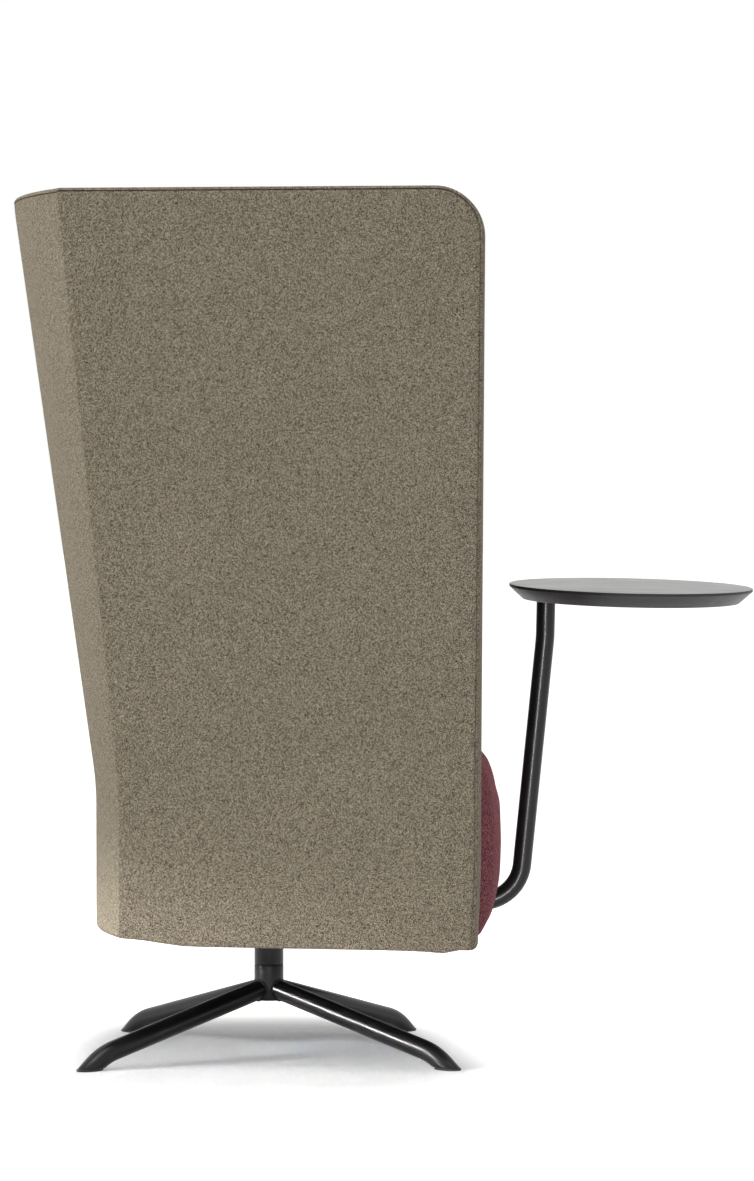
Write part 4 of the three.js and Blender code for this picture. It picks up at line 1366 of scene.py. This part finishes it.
@dataclass
class Cushions:
    """The seat and back cushions: foam in sewn wool covers, swollen by a cloth simulation.

    The cover is drawn in first and then filled by pressure. What it rises by is used as a relief on
    the CAD shape, so that the outline stays as measured.
    """

    finishes: Finishes
    voxel: float = 0.0066
    drawn_in: float = 0.005
    pressure: float = 4.0
    stiffness: float = 15.0
    bending: float = 0.5
    cap: float = 0.008
    relief: float = 0.0015
    frames: int = 14
    fade: float = 0.016
    rail_front: float = 0.2610
    wing_front: float = 0.288
    arm_side: float = 0.200
    arm_room: float = 0.028
    arm_top: float = 0.235
    board_top: float = 0.186
    crown_start: float = 0.38
    seat_seam: float = 0.034
    back_seam: float = 0.020
    seam_turn: tuple[float, float] = (-0.02, 0.085)

    def blank(self, node: Piece, name: str) -> Piece:
        """Copies a cushion's solid as a fine even mesh.

        Args:
            node: The CAD node.
            name: The new piece's name.

        Returns:
            The new piece.
        """
        obj = copy_of(node.data, name)
        edit_all(obj)
        bpy.ops.mesh.remove_doubles(threshold=NEAR)
        leave_edit()
        modify(obj, "REMESH", mode="VOXEL", voxel_size=self.voxel)
        modify(obj, "SMOOTH", factor=0.5, iterations=6)
        return obj

    def step(self, value: float) -> float:
        """Rises from 0 to 1 while a distance goes from 0 to the width of the fade."""
        return ease(value / self.fade)

    def seat_freedom(self, point: Vector, normal: Vector) -> float:
        """How freely the seat's cover swells at a point: not where it lies on the frame or beside the arm."""
        spot = point - COLUMN
        crown = self.step((normal.z - 0.2) * 0.05) * self.step(spot.z - self.crown_start)
        front = self.step(spot.x - self.rail_front - 0.006) * self.step((normal.x + 0.2) * 0.04)
        side = self.step(spot.x - self.wing_front - 0.002)
        beside_arm = max(abs(spot.y - self.arm_side) - self.arm_room, spot.z - self.arm_top)
        return max(crown, front, side) * self.step(beside_arm) * self.step(spot.z - self.board_top)

    def back_freedom(self, _: Vector, normal: Vector) -> float:
        """How freely the back cushion's cover swells at a point: only towards the sitter."""
        return self.step((normal.x - 0.05) * 0.05)

    def swell(self, obj: Piece, freedom: Callable[[Vector, Vector], float]) -> None:
        """Draws the cover in, then lets air pressure in a cloth simulation fill it again.

        Args:
            obj: The cushion.
            freedom: Says from a point and its normal how freely it moves.
        """
        take(obj)
        mesh = obj.data
        normals = [v.normal.copy() for v in mesh.vertices]
        free = [freedom(v.co, n) for v, n in zip(mesh.vertices, normals)]
        held = obj.vertex_groups.new(name="held")
        for vertex, normal, share in zip(mesh.vertices, normals, free):
            vertex.co -= normal * self.drawn_in * share
            held.add([vertex.index], 1 - share, "REPLACE")
        before = [v.co.copy() for v in mesh.vertices]
        cloth = obj.modifiers.new("swell", "CLOTH")
        settings = cloth.settings
        settings.quality = 4
        settings.vertex_group_mass = held.name
        settings.use_pressure = True
        settings.uniform_pressure_force = self.pressure
        settings.effector_weights.gravity = 0
        settings.tension_stiffness = self.stiffness
        settings.compression_stiffness = self.stiffness
        settings.bending_stiffness = self.bending
        cloth.collision_settings.use_collision = False
        cloth.point_cache.frame_start = 1
        cloth.point_cache.frame_end = self.frames
        scene = bpy.context.scene
        for frame in range(1, self.frames + 1):
            scene.frame_set(frame)
        bpy.ops.object.modifier_apply(modifier=cloth.name)
        risen = [(v.co - start).dot(n) for v, start, n in zip(mesh.vertices, before, normals)]
        loose = sorted(rise for rise, share in zip(risen, free) if share > 0.99)
        typical = loose[len(loose) // 2]
        for vertex, start, normal, share, rise in zip(mesh.vertices, before, normals, free, risen):
            height = self.relief * math.tanh((rise - typical) / (2 * self.relief)) - self.relief / 2
            reach = min((self.drawn_in + height) * share, self.cap)
            vertex.co = start + normal * reach
        scene.frame_set(1)
        log.info("%s: the cover rose by %.1f mm before the cap", obj.name, typical * 1000)

    def mark_seams(self, obj: Piece, is_seat: bool) -> None:
        """Writes how far each point lies from the seam, and how far along it."""
        mesh = obj.data
        axis, near, far = (0, -0.15, 0.03) if is_seat else (2, 0.55, 0.90)
        widths = []
        for place in (near, far):
            row = [abs(v.co.y - COLUMN.y) for v in mesh.vertices if abs(v.co[axis] - place) < 0.008]
            widths.append(max(row))
        low = min(v.co.z for v in mesh.vertices)
        high = max(v.co.z for v in mesh.vertices)
        across = mesh.attributes.new("seam_across", "FLOAT", "POINT")
        along = mesh.attributes.new("seam_along", "FLOAT", "POINT")
        start, end = self.seam_turn
        for vertex in mesh.vertices:
            spot = vertex.co
            half = widths[0] + (spot[axis] - near) / (far - near) * (widths[1] - widths[0])
            side = half - abs(spot.y - COLUMN.y)
            if is_seat:
                turn = ease((spot.x - start) / (end - start))
                away = side - (self.seat_seam - (self.seat_seam + 0.03) * turn)
                run = high - spot.z - spot.x
            else:
                edge = min(spot.z - low, high - spot.z)
                away = min(side, edge) - self.back_seam + (0.0 if vertex.normal.x > 0 else 0.1)
                run = spot.z if side < edge else spot.y
            across.data[vertex.index].value = away
            along.data[vertex.index].value = run

    def build(self, nodes: dict[str, Piece]) -> list[Piece]:
        """Makes and dresses the cushions."""
        made = []
        for node, name, freedom in (
            ("seat_cushion", "seat_upholstery", self.seat_freedom),
            ("back_cushion", "back_upholstery", self.back_freedom),
        ):
            obj = self.blank(nodes[node], name)
            self.swell(obj, freedom)
            modify(obj, "SUBSURF", levels=1, render_levels=1)
            bpy.ops.object.shade_smooth()
            self.mark_seams(obj, node == "seat_cushion")
            dress(obj, self.finishes, Body.SEAT, "seat_fabric", node)
            made.append(obj)
        return made


@dataclass(frozen=True)
class Bend:
    """A turn of a tube: its radius, its angle in degrees and its number of steps."""

    radius: float
    angle: float
    steps: int


@dataclass(frozen=True)
class Run:
    """A straight stretch of a tube."""

    length: float


def bent_tube(
    name: str, start: Vector, heading: float, moves: Iterable[Run | Bend], radius: float, sides: int = 40
) -> Piece:
    """Makes a closed tube that starts at a point and turns upwards or downwards in the XZ plane.

    Args:
        name: The piece's name.
        start: The middle of its first end.
        heading: Its first direction, in degrees above +X.
        moves: Its straight stretches and turns in order.
        radius: The tube's radius.
        sides: The number of faces round it.

    Returns:
        The tube, with flat ends.
    """
    obj = primitive(
        name,
        bpy.ops.mesh.primitive_circle_add,
        vertices=sides,
        radius=radius,
        fill_type="NOTHING",
        location=start,
        rotation=(0, math.radians(90 - heading), 0),
    )
    edit_all(obj, "EDGE")
    place = start.copy()
    angle = math.radians(heading)
    for move in moves:
        if isinstance(move, Run):
            ahead = Vector((math.cos(angle), 0, math.sin(angle)))
            bpy.ops.mesh.extrude_region_move(TRANSFORM_OT_translate={"value": ahead * move.length})
            place += ahead * move.length
            continue
        upward = Vector((-math.sin(angle), 0, math.cos(angle)))
        centre = place + upward * math.copysign(move.radius, move.angle)
        swing = math.radians(move.angle)
        bpy.ops.mesh.spin(steps=move.steps, angle=swing, center=centre, axis=(0, 1, 0))
        place = centre + Matrix.Rotation(-swing, 3, "Y") @ (place - centre)
        angle += swing
    leave_edit()
    edit_all(obj, "EDGE")
    bpy.ops.mesh.select_all(action="DESELECT")
    bpy.ops.mesh.select_non_manifold()
    bpy.ops.mesh.edge_face_add()
    leave_edit()
    face_outwards(obj)
    return obj


@dataclass
class SwivelBase:
    """The welded tubular base with its hub, and the sleeve that turns on it.

    Reach is the legs', from the column's axis to the toe. Root is the height of a leg's middle line
    at the axis. The pairs are the lower and upper ends of round pieces.
    """

    finishes: Finishes
    tube: float = 0.014
    reach: float = 0.348
    foot_slope: float = 40.0
    foot_rise: float = 0.0203
    bend: float = 0.095
    leg_end: float = 0.12
    root: float = 0.0965
    hub: float = 0.0212
    cap: tuple[float, float] = (0.0762, 0.0784)
    barrel: tuple[float, float] = (0.0786, 0.1268)
    washer: tuple[float, float] = (0.1270, 0.1280)
    sleeve: tuple[float, float] = (0.1282, 0.2207)
    foot_gap: float = 0.0033
    glide_height: float = 0.003
    mitre_gap: float = 0.00015
    bead: float = 0.0021
    ripples: int = 26
    angles: tuple[tuple[str, float], ...] = (
        ("front_right", -39.4),
        ("front_left", 50.8),
        ("rear_left", 129.2),
        ("rear_right", -140.6),
    )

    @property
    def steep(self) -> float:
        """How steeply the feet run down, in radians."""
        return math.radians(self.foot_slope)

    @property
    def knee(self) -> float:
        """How far out a leg's middle line turns down to the foot."""
        return self.reach - self.tube / math.sin(self.steep) - self.foot_rise / math.tan(self.steep)

    @property
    def slope(self) -> float:
        """How steeply the legs run down from the hub, in radians."""
        return math.atan2(self.root - self.foot_rise, self.knee)

    def put(self, obj: Piece, angle: float, neighbours: Iterable[float]) -> Piece:
        """Turns a leg or its weld from +X to its direction and mitres it half way to its neighbours.

        Args:
            obj: The piece.
            angle: Its direction in degrees.
            neighbours: The directions of the legs beside it.

        Returns:
            The same piece, at the column.
        """
        obj.data.transform(Matrix.Rotation(math.radians(angle), 4, "Z"))
        outward = Vector((math.cos(math.radians(angle)), math.sin(math.radians(angle)), 0))
        for neighbour in neighbours:
            middle = math.radians((angle + neighbour) / 2)
            side = Vector((-math.sin(middle), math.cos(middle), 0))
            if side.dot(outward) > 0:
                side = -side
            edit_all(obj)
            start = -side * self.mitre_gap
            bpy.ops.mesh.bisect(plane_co=start, plane_no=side, use_fill=True, clear_outer=True)
            leave_edit()
        obj.data.transform(Matrix.Translation(COLUMN))
        tidy_surface(obj)
        return obj

    def leg(self, place: str) -> Piece:
        """Makes a leg along +X, cut level above its glide."""
        turn = self.steep - self.slope
        trim = self.bend * math.tan(turn / 2)
        run = math.hypot(self.knee, self.root - self.foot_rise)
        moves = [Run(run - trim), Bend(self.bend, -math.degrees(turn), 10), Run(self.leg_end)]
        start = Vector((0, 0, self.root))
        obj = bent_tube(f"leg_tube_{place}", start, -math.degrees(self.slope), moves, self.tube)
        edit_all(obj)
        low = (0, 0, self.foot_gap)
        bpy.ops.mesh.bisect(plane_co=low, plane_no=(0, 0, 1), use_fill=True, clear_inner=True)
        leave_edit()
        round_edges(obj, lies(z=self.foot_gap), 0.0008, 2)
        return obj

    def weld(self, place: str) -> Piece:
        """Lays the weld bead round a leg where it meets the hub, with the ripple of a hand weld."""
        obj = primitive(
            f"weld_bead_{place}",
            bpy.ops.mesh.primitive_torus_add,
            major_segments=120,
            minor_segments=10,
            major_radius=self.tube,
            minor_radius=self.bead,
        )
        ahead = Vector((math.cos(self.slope), 0, -math.sin(self.slope)))
        upward = Vector((math.sin(self.slope), 0, math.cos(self.slope)))
        for vertex in obj.data.vertices:
            around = math.atan2(vertex.co.y, vertex.co.x)
            out = math.hypot(vertex.co.x, vertex.co.y) - self.tube
            ripple = 1 + 0.08 * math.sin(around * self.ripples)
            ring = upward * math.sin(around) + Vector((0, 1, 0)) * math.cos(around)
            start = Vector((0, 0, self.root)) + ring * self.tube
            spot = start + ahead * ((math.sqrt(self.hub**2 - start.y**2) - start.x) / ahead.x)
            wall = Vector((spot.x, spot.y, 0)).normalized()
            vertex.co = spot + ring * out * ripple + (wall * 0.7 + ahead * 0.3) * vertex.co.z * ripple
        return obj

    def turned(self, name: str, radius: float, ends: tuple[float, float], bevel: float) -> Piece:
        """Makes a round bar on the column's axis with its ends' edges rounded."""
        low, high = ends
        middle = (COLUMN.x, COLUMN.y, (low + high) / 2)
        add = bpy.ops.mesh.primitive_cylinder_add
        obj = primitive(name, add, vertices=64, radius=radius, depth=high - low, location=middle)
        round_edges(obj, is_level, bevel, 3)
        tidy_surface(obj)
        return obj

    def glide(self, place: str, angle: float) -> Piece:
        """Makes the oval glide under one foot."""
        half = self.glide_height / 2
        centre = self.reach - self.tube / math.sin(self.steep) - half / math.tan(self.steep)
        obj = primitive(
            f"glide_pad_{place}",
            bpy.ops.mesh.primitive_cylinder_add,
            vertices=48,
            radius=self.tube - 0.0003,
            depth=self.glide_height,
            location=(centre, 0, half),
            scale=(1 / math.sin(self.steep), 1, 1),
        )
        round_edges(obj, is_level, 0.0006, 2)
        obj.data.transform(Matrix.Translation(COLUMN) @ Matrix.Rotation(math.radians(angle), 4, "Z"))
        tidy_surface(obj)
        return obj

    def build(self) -> list[Piece]:
        """Makes and dresses the base."""
        made = []
        count = len(self.angles)
        for i, (place, angle) in enumerate(self.angles):
            turns = (self.angles[(i + 1) % count][1], self.angles[i - 1][1])
            near = [angle + (other - angle + 180) % 360 - 180 for other in turns]
            leg = self.put(self.leg(place), angle, near)
            dress(leg, self.finishes, Body.BASE, "painted_steel", f"leg_{place}")
            pad = self.glide(place, angle)
            dress(pad, self.finishes, Body.BASE, "black_nylon", f"glide_{place}")
            bead = self.put(self.weld(place), angle, near)
            dress(bead, self.finishes, Body.BASE, "painted_steel")
            made += [leg, pad, bead]
        for name, inset, ends, bevel, body, slot, node in (
            ("hub_end_cap", 0.0004, self.cap, 0.0006, Body.BASE, "black_nylon", "hub_cap"),
            ("hub_barrel", 0.0, self.barrel, 0.0005, Body.BASE, "painted_steel", "hub_tube"),
            ("swivel_washer", 0.0006, self.washer, 0.0003, Body.BASE, "black_nylon", "thrust_washer"),
            ("column_barrel", 0.0, self.sleeve, 0.0005, Body.SEAT, "painted_steel", "column_sleeve"),
        ):
            obj = self.turned(name, self.hub - inset, ends, bevel)
            dress(obj, self.finishes, body, slot, node)
            made.append(obj)
        return made


@dataclass
class TabletArm:
    """The bent tube that carries the tablet, rolled a little about its lower run.

    Corner, kink and top are points of its middle line, from the column axis and the lower run.
    """

    finishes: Finishes
    tube: float = 0.014
    height: float = 0.2003
    side: float = 0.200
    roll: float = 2.6
    start: float = 0.060
    corner: float = 0.3725
    bend: float = 0.061
    kink: tuple[float, float] = (0.4112, 0.395)
    kink_bend: float = 0.200
    top: tuple[float, float] = (0.4123, 0.4495)

    def place(self) -> Matrix:
        """The arm's own frame in the row frame."""
        spot = COLUMN + Vector((0, self.side, self.height))
        return Matrix.Translation(spot) @ Matrix.Rotation(math.radians(self.roll), 4, "X")

    def table_place(self) -> Matrix:
        """The frame that stands on the arm's top end."""
        lean = math.atan2(self.top[0] - self.kink[0], self.top[1] - self.kink[1])
        spot = Matrix.Translation(Vector((self.top[0], 0, self.top[1])))
        return self.place() @ spot @ Matrix.Rotation(lean, 4, "Y")

    def build(self) -> list[Piece]:
        """Makes and dresses the arm."""
        rise = math.atan2(self.kink[1], self.kink[0] - self.corner)
        second = math.atan2(self.top[1] - self.kink[1], self.top[0] - self.kink[0]) - rise
        first_trim = self.bend * math.tan(rise / 2)
        second_trim = self.kink_bend * math.tan(abs(second) / 2)
        post = math.hypot(self.kink[0] - self.corner, self.kink[1])
        end = math.hypot(self.top[0] - self.kink[0], self.top[1] - self.kink[1])
        moves = [
            Run(self.corner - self.start - first_trim),
            Bend(self.bend, math.degrees(rise), 16),
            Run(post - first_trim - second_trim),
            Bend(self.kink_bend, math.degrees(second), 4),
            Run(end - second_trim),
        ]
        obj = bent_tube("tablet_arm", Vector((self.start, 0, 0)), 0.0, moves, self.tube, 48)
        obj.data.transform(self.place())
        tidy_surface(obj)
        dress(obj, self.finishes, Body.SEAT, "painted_steel", "arm_tube")
        return [obj]


@dataclass
class Tablet:
    """The round tabletop with its thin rim and deep undercut.

    Heights are from the arm's top end. Pocket is the radius of the plate's recess and seat its top.
    """

    finishes: Finishes
    place: Matrix
    radius: float = 0.181
    thickness: float = 0.022
    rim: float = 0.004
    undercut: float = 0.020
    edge: float = 0.0005
    offset: float = 0.126
    bottom: float = 0.0029
    pocket: float = 0.0313
    seat: float = 0.0069
    screws: int = 3
    screw_circle: float = 0.021
    screw_hole: float = 0.0028
    screw_grip: float = 0.012

    def bore(self, obj: Piece, spot: Vector, radius: float, top: float) -> None:
        """Bores a round hole in the underside, up to a height."""
        low = self.bottom - 0.005
        middle = (spot.x, spot.y, (top + low) / 2)
        add = bpy.ops.mesh.primitive_cylinder_add
        carve(obj, primitive("bore", add, vertices=64, radius=radius, depth=top - low, location=middle))

    def build(self) -> list[Piece]:
        """Makes and dresses the tabletop."""
        middle = (self.offset, 0, self.bottom + self.thickness - self.rim / 2)
        add = bpy.ops.mesh.primitive_cylinder_add
        obj = primitive("table_board", add, vertices=192, radius=self.radius, depth=self.rim, location=middle)
        edit_faces(obj, lambda c, n: n.z < -0.9)
        drop = {"value": (0, 0, -(self.thickness - self.rim))}
        bpy.ops.mesh.extrude_region_move(TRANSFORM_OT_translate=drop)
        share = (self.radius - self.undercut) / self.radius
        bpy.ops.transform.resize(value=(share, share, 1), center_override=(self.offset, 0, self.bottom))
        leave_edit()
        round_edges(obj, is_level, self.edge, 3)
        for _ in range(3):
            edit_faces(obj, lambda c, n: abs(n.z) > 0.9 and (c.xy - Vector((self.offset, 0))).length < 0.01)
            bpy.ops.mesh.inset(thickness=0.045)
            leave_edit()
        self.bore(obj, Vector((0, 0)), self.pocket, self.seat)
        for k in range(self.screws):
            spot = Vector((self.screw_circle, 0)) @ Matrix.Rotation(-math.tau * k / self.screws, 2)
            self.bore(obj, spot, self.screw_hole, self.seat + self.screw_grip)
        obj.data.transform(self.place)
        tidy_surface(obj)
        dress(obj, self.finishes, Body.TABLE, "table_laminate", "tabletop")
        obj.data.materials.append(self.finishes["table_edge"])
        obj.data.materials.append(self.finishes["table_band"])
        up = (self.place.to_3x3() @ UPRIGHT).normalized()
        for face in obj.data.polygons:
            rise = face.normal.dot(up)
            face.material_index = 0 if rise > 0.9 else 2 if abs(rise) < 0.35 else 1
        return [obj]


@dataclass(frozen=True)
class Lamp:
    """A soft box: its place, its width and height, its watts, what it faces and its fan in degrees."""

    name: str
    spot: tuple[float, float, float]
    size: tuple[float, float]
    watts: float
    target: tuple[float, float, float]
    spread: float = 180.0

    def build(self) -> None:
        """Adds the lamp, out of the camera's sight."""
        data = bpy.data.lights.new(self.name, "AREA")
        data.shape = "RECTANGLE"
        data.size, data.size_y = self.size
        data.energy = self.watts
        data.spread = math.radians(self.spread)
        obj = bpy.data.objects.new(self.name, data)
        obj.location = self.spot
        obj.visible_camera = False
        aim = Vector(self.target) - Vector(self.spot)
        obj.rotation_euler = aim.to_track_quat("-Z", "Y").to_euler()
        bpy.context.scene.collection.objects.link(obj)


LAMPS = (
    Lamp("top_box", (0.0, -2.7, 7.0), (4.6, 3.2), 186, (0, 0, 0.6)),
    Lamp("left_box", (-4.4, -1.4, 1.9), (1.6, 2.8), 94, (0, 0, 0.7)),
    Lamp("floor_box", (-0.18, -2.1, 0.30), (1.4, 0.3), 2.8, (-0.18, -0.3, 0.2)),
    Lamp("leg_strip", (-2.75, -0.93, 0.81), (0.6, 0.14), 0.95, (-0.02, -0.14, -0.02), 11),
    Lamp("post_strip", (0.185, -0.33, 0.41), (0.030, 0.66), 0.22, (0.212, 0.2, 0.41), 30),
)


@dataclass
class Studio:
    """A pale floor, soft light and the camera at the photograph's angle.

    Focal is the lens in pixels of the photograph, and long side its height in pixels. The patch is
    where the floor keeps the chair's shadow: its middle from the column, its narrowing away from the
    camera, its width and its depth. The fade is the patch's edge, and the glow the floor's own light
    in the patch and outside it.
    """

    distance: float = 6.4
    eye: float = 0.799
    focal: float = 4429.0
    long_side: int = 1181
    yaw: float = 1.40
    pitch: float = 1.17
    ambient: float = 0.35
    patch: tuple[float, float, float] = (-0.02, -0.03, 0.0)
    patch_narrowing: float = 0.9
    patch_width: float = 1.45
    patch_depth: float = 0.92
    fade: tuple[float, float] = (0.08, 0.25)
    glow: tuple[float, float] = (0.10, 0.9)

    def camera(self) -> None:
        """Places the camera as the photograph was taken."""
        data = bpy.data.cameras.new("camera")
        data.sensor_width = 36.0
        data.lens = self.focal / self.long_side * data.sensor_width
        data.clip_end = 200.0
        obj = bpy.data.objects.new("camera", data)
        obj.location = (COLUMN.x, COLUMN.y - self.distance, self.eye)
        obj.rotation_euler = (math.radians(90 - self.pitch), 0, -math.radians(self.yaw))
        bpy.context.scene.collection.objects.link(obj)
        bpy.context.scene.camera = obj

    def shown(self, tree: Tree) -> Socket:
        """One for rays that show the background itself, straight or in a gloss or glass."""
        path = add_node(tree, "ShaderNodeLightPath")
        mirror = add_node(
            tree,
            "ShaderNodeMath",
            {"operation": "MAXIMUM"},
            {0: path.outputs["Is Camera Ray"], 1: path.outputs["Is Glossy Ray"]},
        )
        return add_node(
            tree,
            "ShaderNodeMath",
            {"operation": "MAXIMUM"},
            {0: mirror.outputs[0], 1: path.outputs["Is Transmission Ray"]},
        ).outputs[0]

    def world(self) -> None:
        """Makes a white background and an even light from all sides."""
        world = bpy.data.worlds.new("studio")
        world.use_nodes = True
        tree = world.node_tree
        tree.nodes.clear()
        level = add_node(
            tree, "ShaderNodeMapRange", {}, {"Value": self.shown(tree), 3: self.ambient, 4: 1.0}
        )
        sky = add_node(
            tree,
            "ShaderNodeBackground",
            {},
            {"Color": (1, 1, 1, 1), "Strength": level.outputs[0]},
        )
        add_node(tree, "ShaderNodeOutputWorld", {}, {"Surface": sky.outputs[0]})
        bpy.context.scene.world = world

    def floor(self) -> None:
        """Lays a pale floor that glows white, apart from a patch that keeps the chair's shadow."""
        obj = primitive("studio_floor", bpy.ops.mesh.primitive_plane_add, size=120, location=(0, 0, 0))
        material, tree, place = new_material("pale_floor")
        paint = add_node(tree, "ShaderNodeBsdfDiffuse", {}, {"Color": linear("#E7E7E7")})
        middle = add_node(
            tree,
            "ShaderNodeVectorMath",
            {"operation": "SUBTRACT"},
            {0: place, 1: tuple(COLUMN + Vector(self.patch))},
        )
        parts = add_node(tree, "ShaderNodeSeparateXYZ", {}, {"Vector": middle.outputs[0]})
        narrow = add_node(
            tree,
            "ShaderNodeMath",
            {"operation": "MULTIPLY_ADD"},
            {0: parts.outputs["Y"], 1: self.patch_narrowing, 2: self.patch_width},
        )
        across = add_node(
            tree, "ShaderNodeMath", {"operation": "MULTIPLY"}, {0: parts.outputs["X"], 1: narrow.outputs[0]}
        )
        away = add_node(
            tree, "ShaderNodeMath", {"operation": "MULTIPLY"}, {0: parts.outputs["Y"], 1: self.patch_depth}
        )
        oval = add_node(tree, "ShaderNodeCombineXYZ", {}, {"X": across.outputs[0], "Y": away.outputs[0]})
        boxy = add_node(
            tree, "ShaderNodeVectorMath", {"operation": "MULTIPLY"}, {0: oval.outputs[0], 1: oval.outputs[0]}
        )
        spread = add_node(tree, "ShaderNodeVectorMath", {"operation": "LENGTH"}, {0: boxy.outputs[0]})
        level = add_node(
            tree,
            "ShaderNodeMapRange",
            {"interpolation_type": "SMOOTHSTEP"},
            {
                "Value": spread.outputs["Value"],
                1: self.fade[0],
                2: self.fade[1],
                3: self.glow[0],
                4: self.glow[1],
            },
        )
        glow = add_node(
            tree, "ShaderNodeEmission", {}, {"Color": (1, 1, 1, 1), "Strength": level.outputs[0]}
        )
        nothing = add_node(tree, "ShaderNodeEmission", {}, {"Strength": 0.0})
        lift = add_node(
            tree,
            "ShaderNodeMixShader",
            {},
            {0: self.shown(tree), 1: nothing.outputs[0], 2: glow.outputs[0]},
        )
        both = add_node(tree, "ShaderNodeAddShader", {}, {0: paint.outputs[0], 1: lift.outputs[0]})
        add_node(tree, "ShaderNodeOutputMaterial", {}, {"Surface": both.outputs[0]})
        obj.data.materials.append(material)

    def build(self) -> None:
        """Sets the whole studio up."""
        self.camera()
        self.world()
        self.floor()
        for lamp in LAMPS:
            lamp.build()
        bpy.context.scene.view_settings.view_transform = "Standard"


def dress_nodes(nodes: dict[str, Piece], record: dict, finishes: Finishes) -> None:
    """Gives every CAD node the finish of its slot in the record."""
    for part in record["subparts"]:
        mesh = nodes[part["node"]].data
        mesh.materials.clear()
        mesh.materials.append(finishes[part["material_slot"]])


def report(pieces: Iterable[Piece]) -> None:
    """Logs each piece with its face count."""
    for piece in pieces:
        log.info("%s: %d faces", piece.name, len(piece.data.polygons))


def main() -> None:
    """Builds the chair's looks from the frame up."""
    logging.basicConfig(level=logging.INFO, format="%(name)s: %(message)s")
    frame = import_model()
    finishes = make_finishes()
    dress_nodes(frame["nodes"], frame["record"], finishes)
    Studio().build()
    report(PaddedShell(ShellOutline(), finishes).build())
    report(WallFrame(ShellOutline(), finishes).build())
    report(Cushions(finishes).build(frame["nodes"]))
    report(SwivelBase(finishes).build())
    arm = TabletArm(finishes)
    report(arm.build())
    report(Tablet(finishes, arm.table_place()).build())


if __name__ == "__main__":
    main()
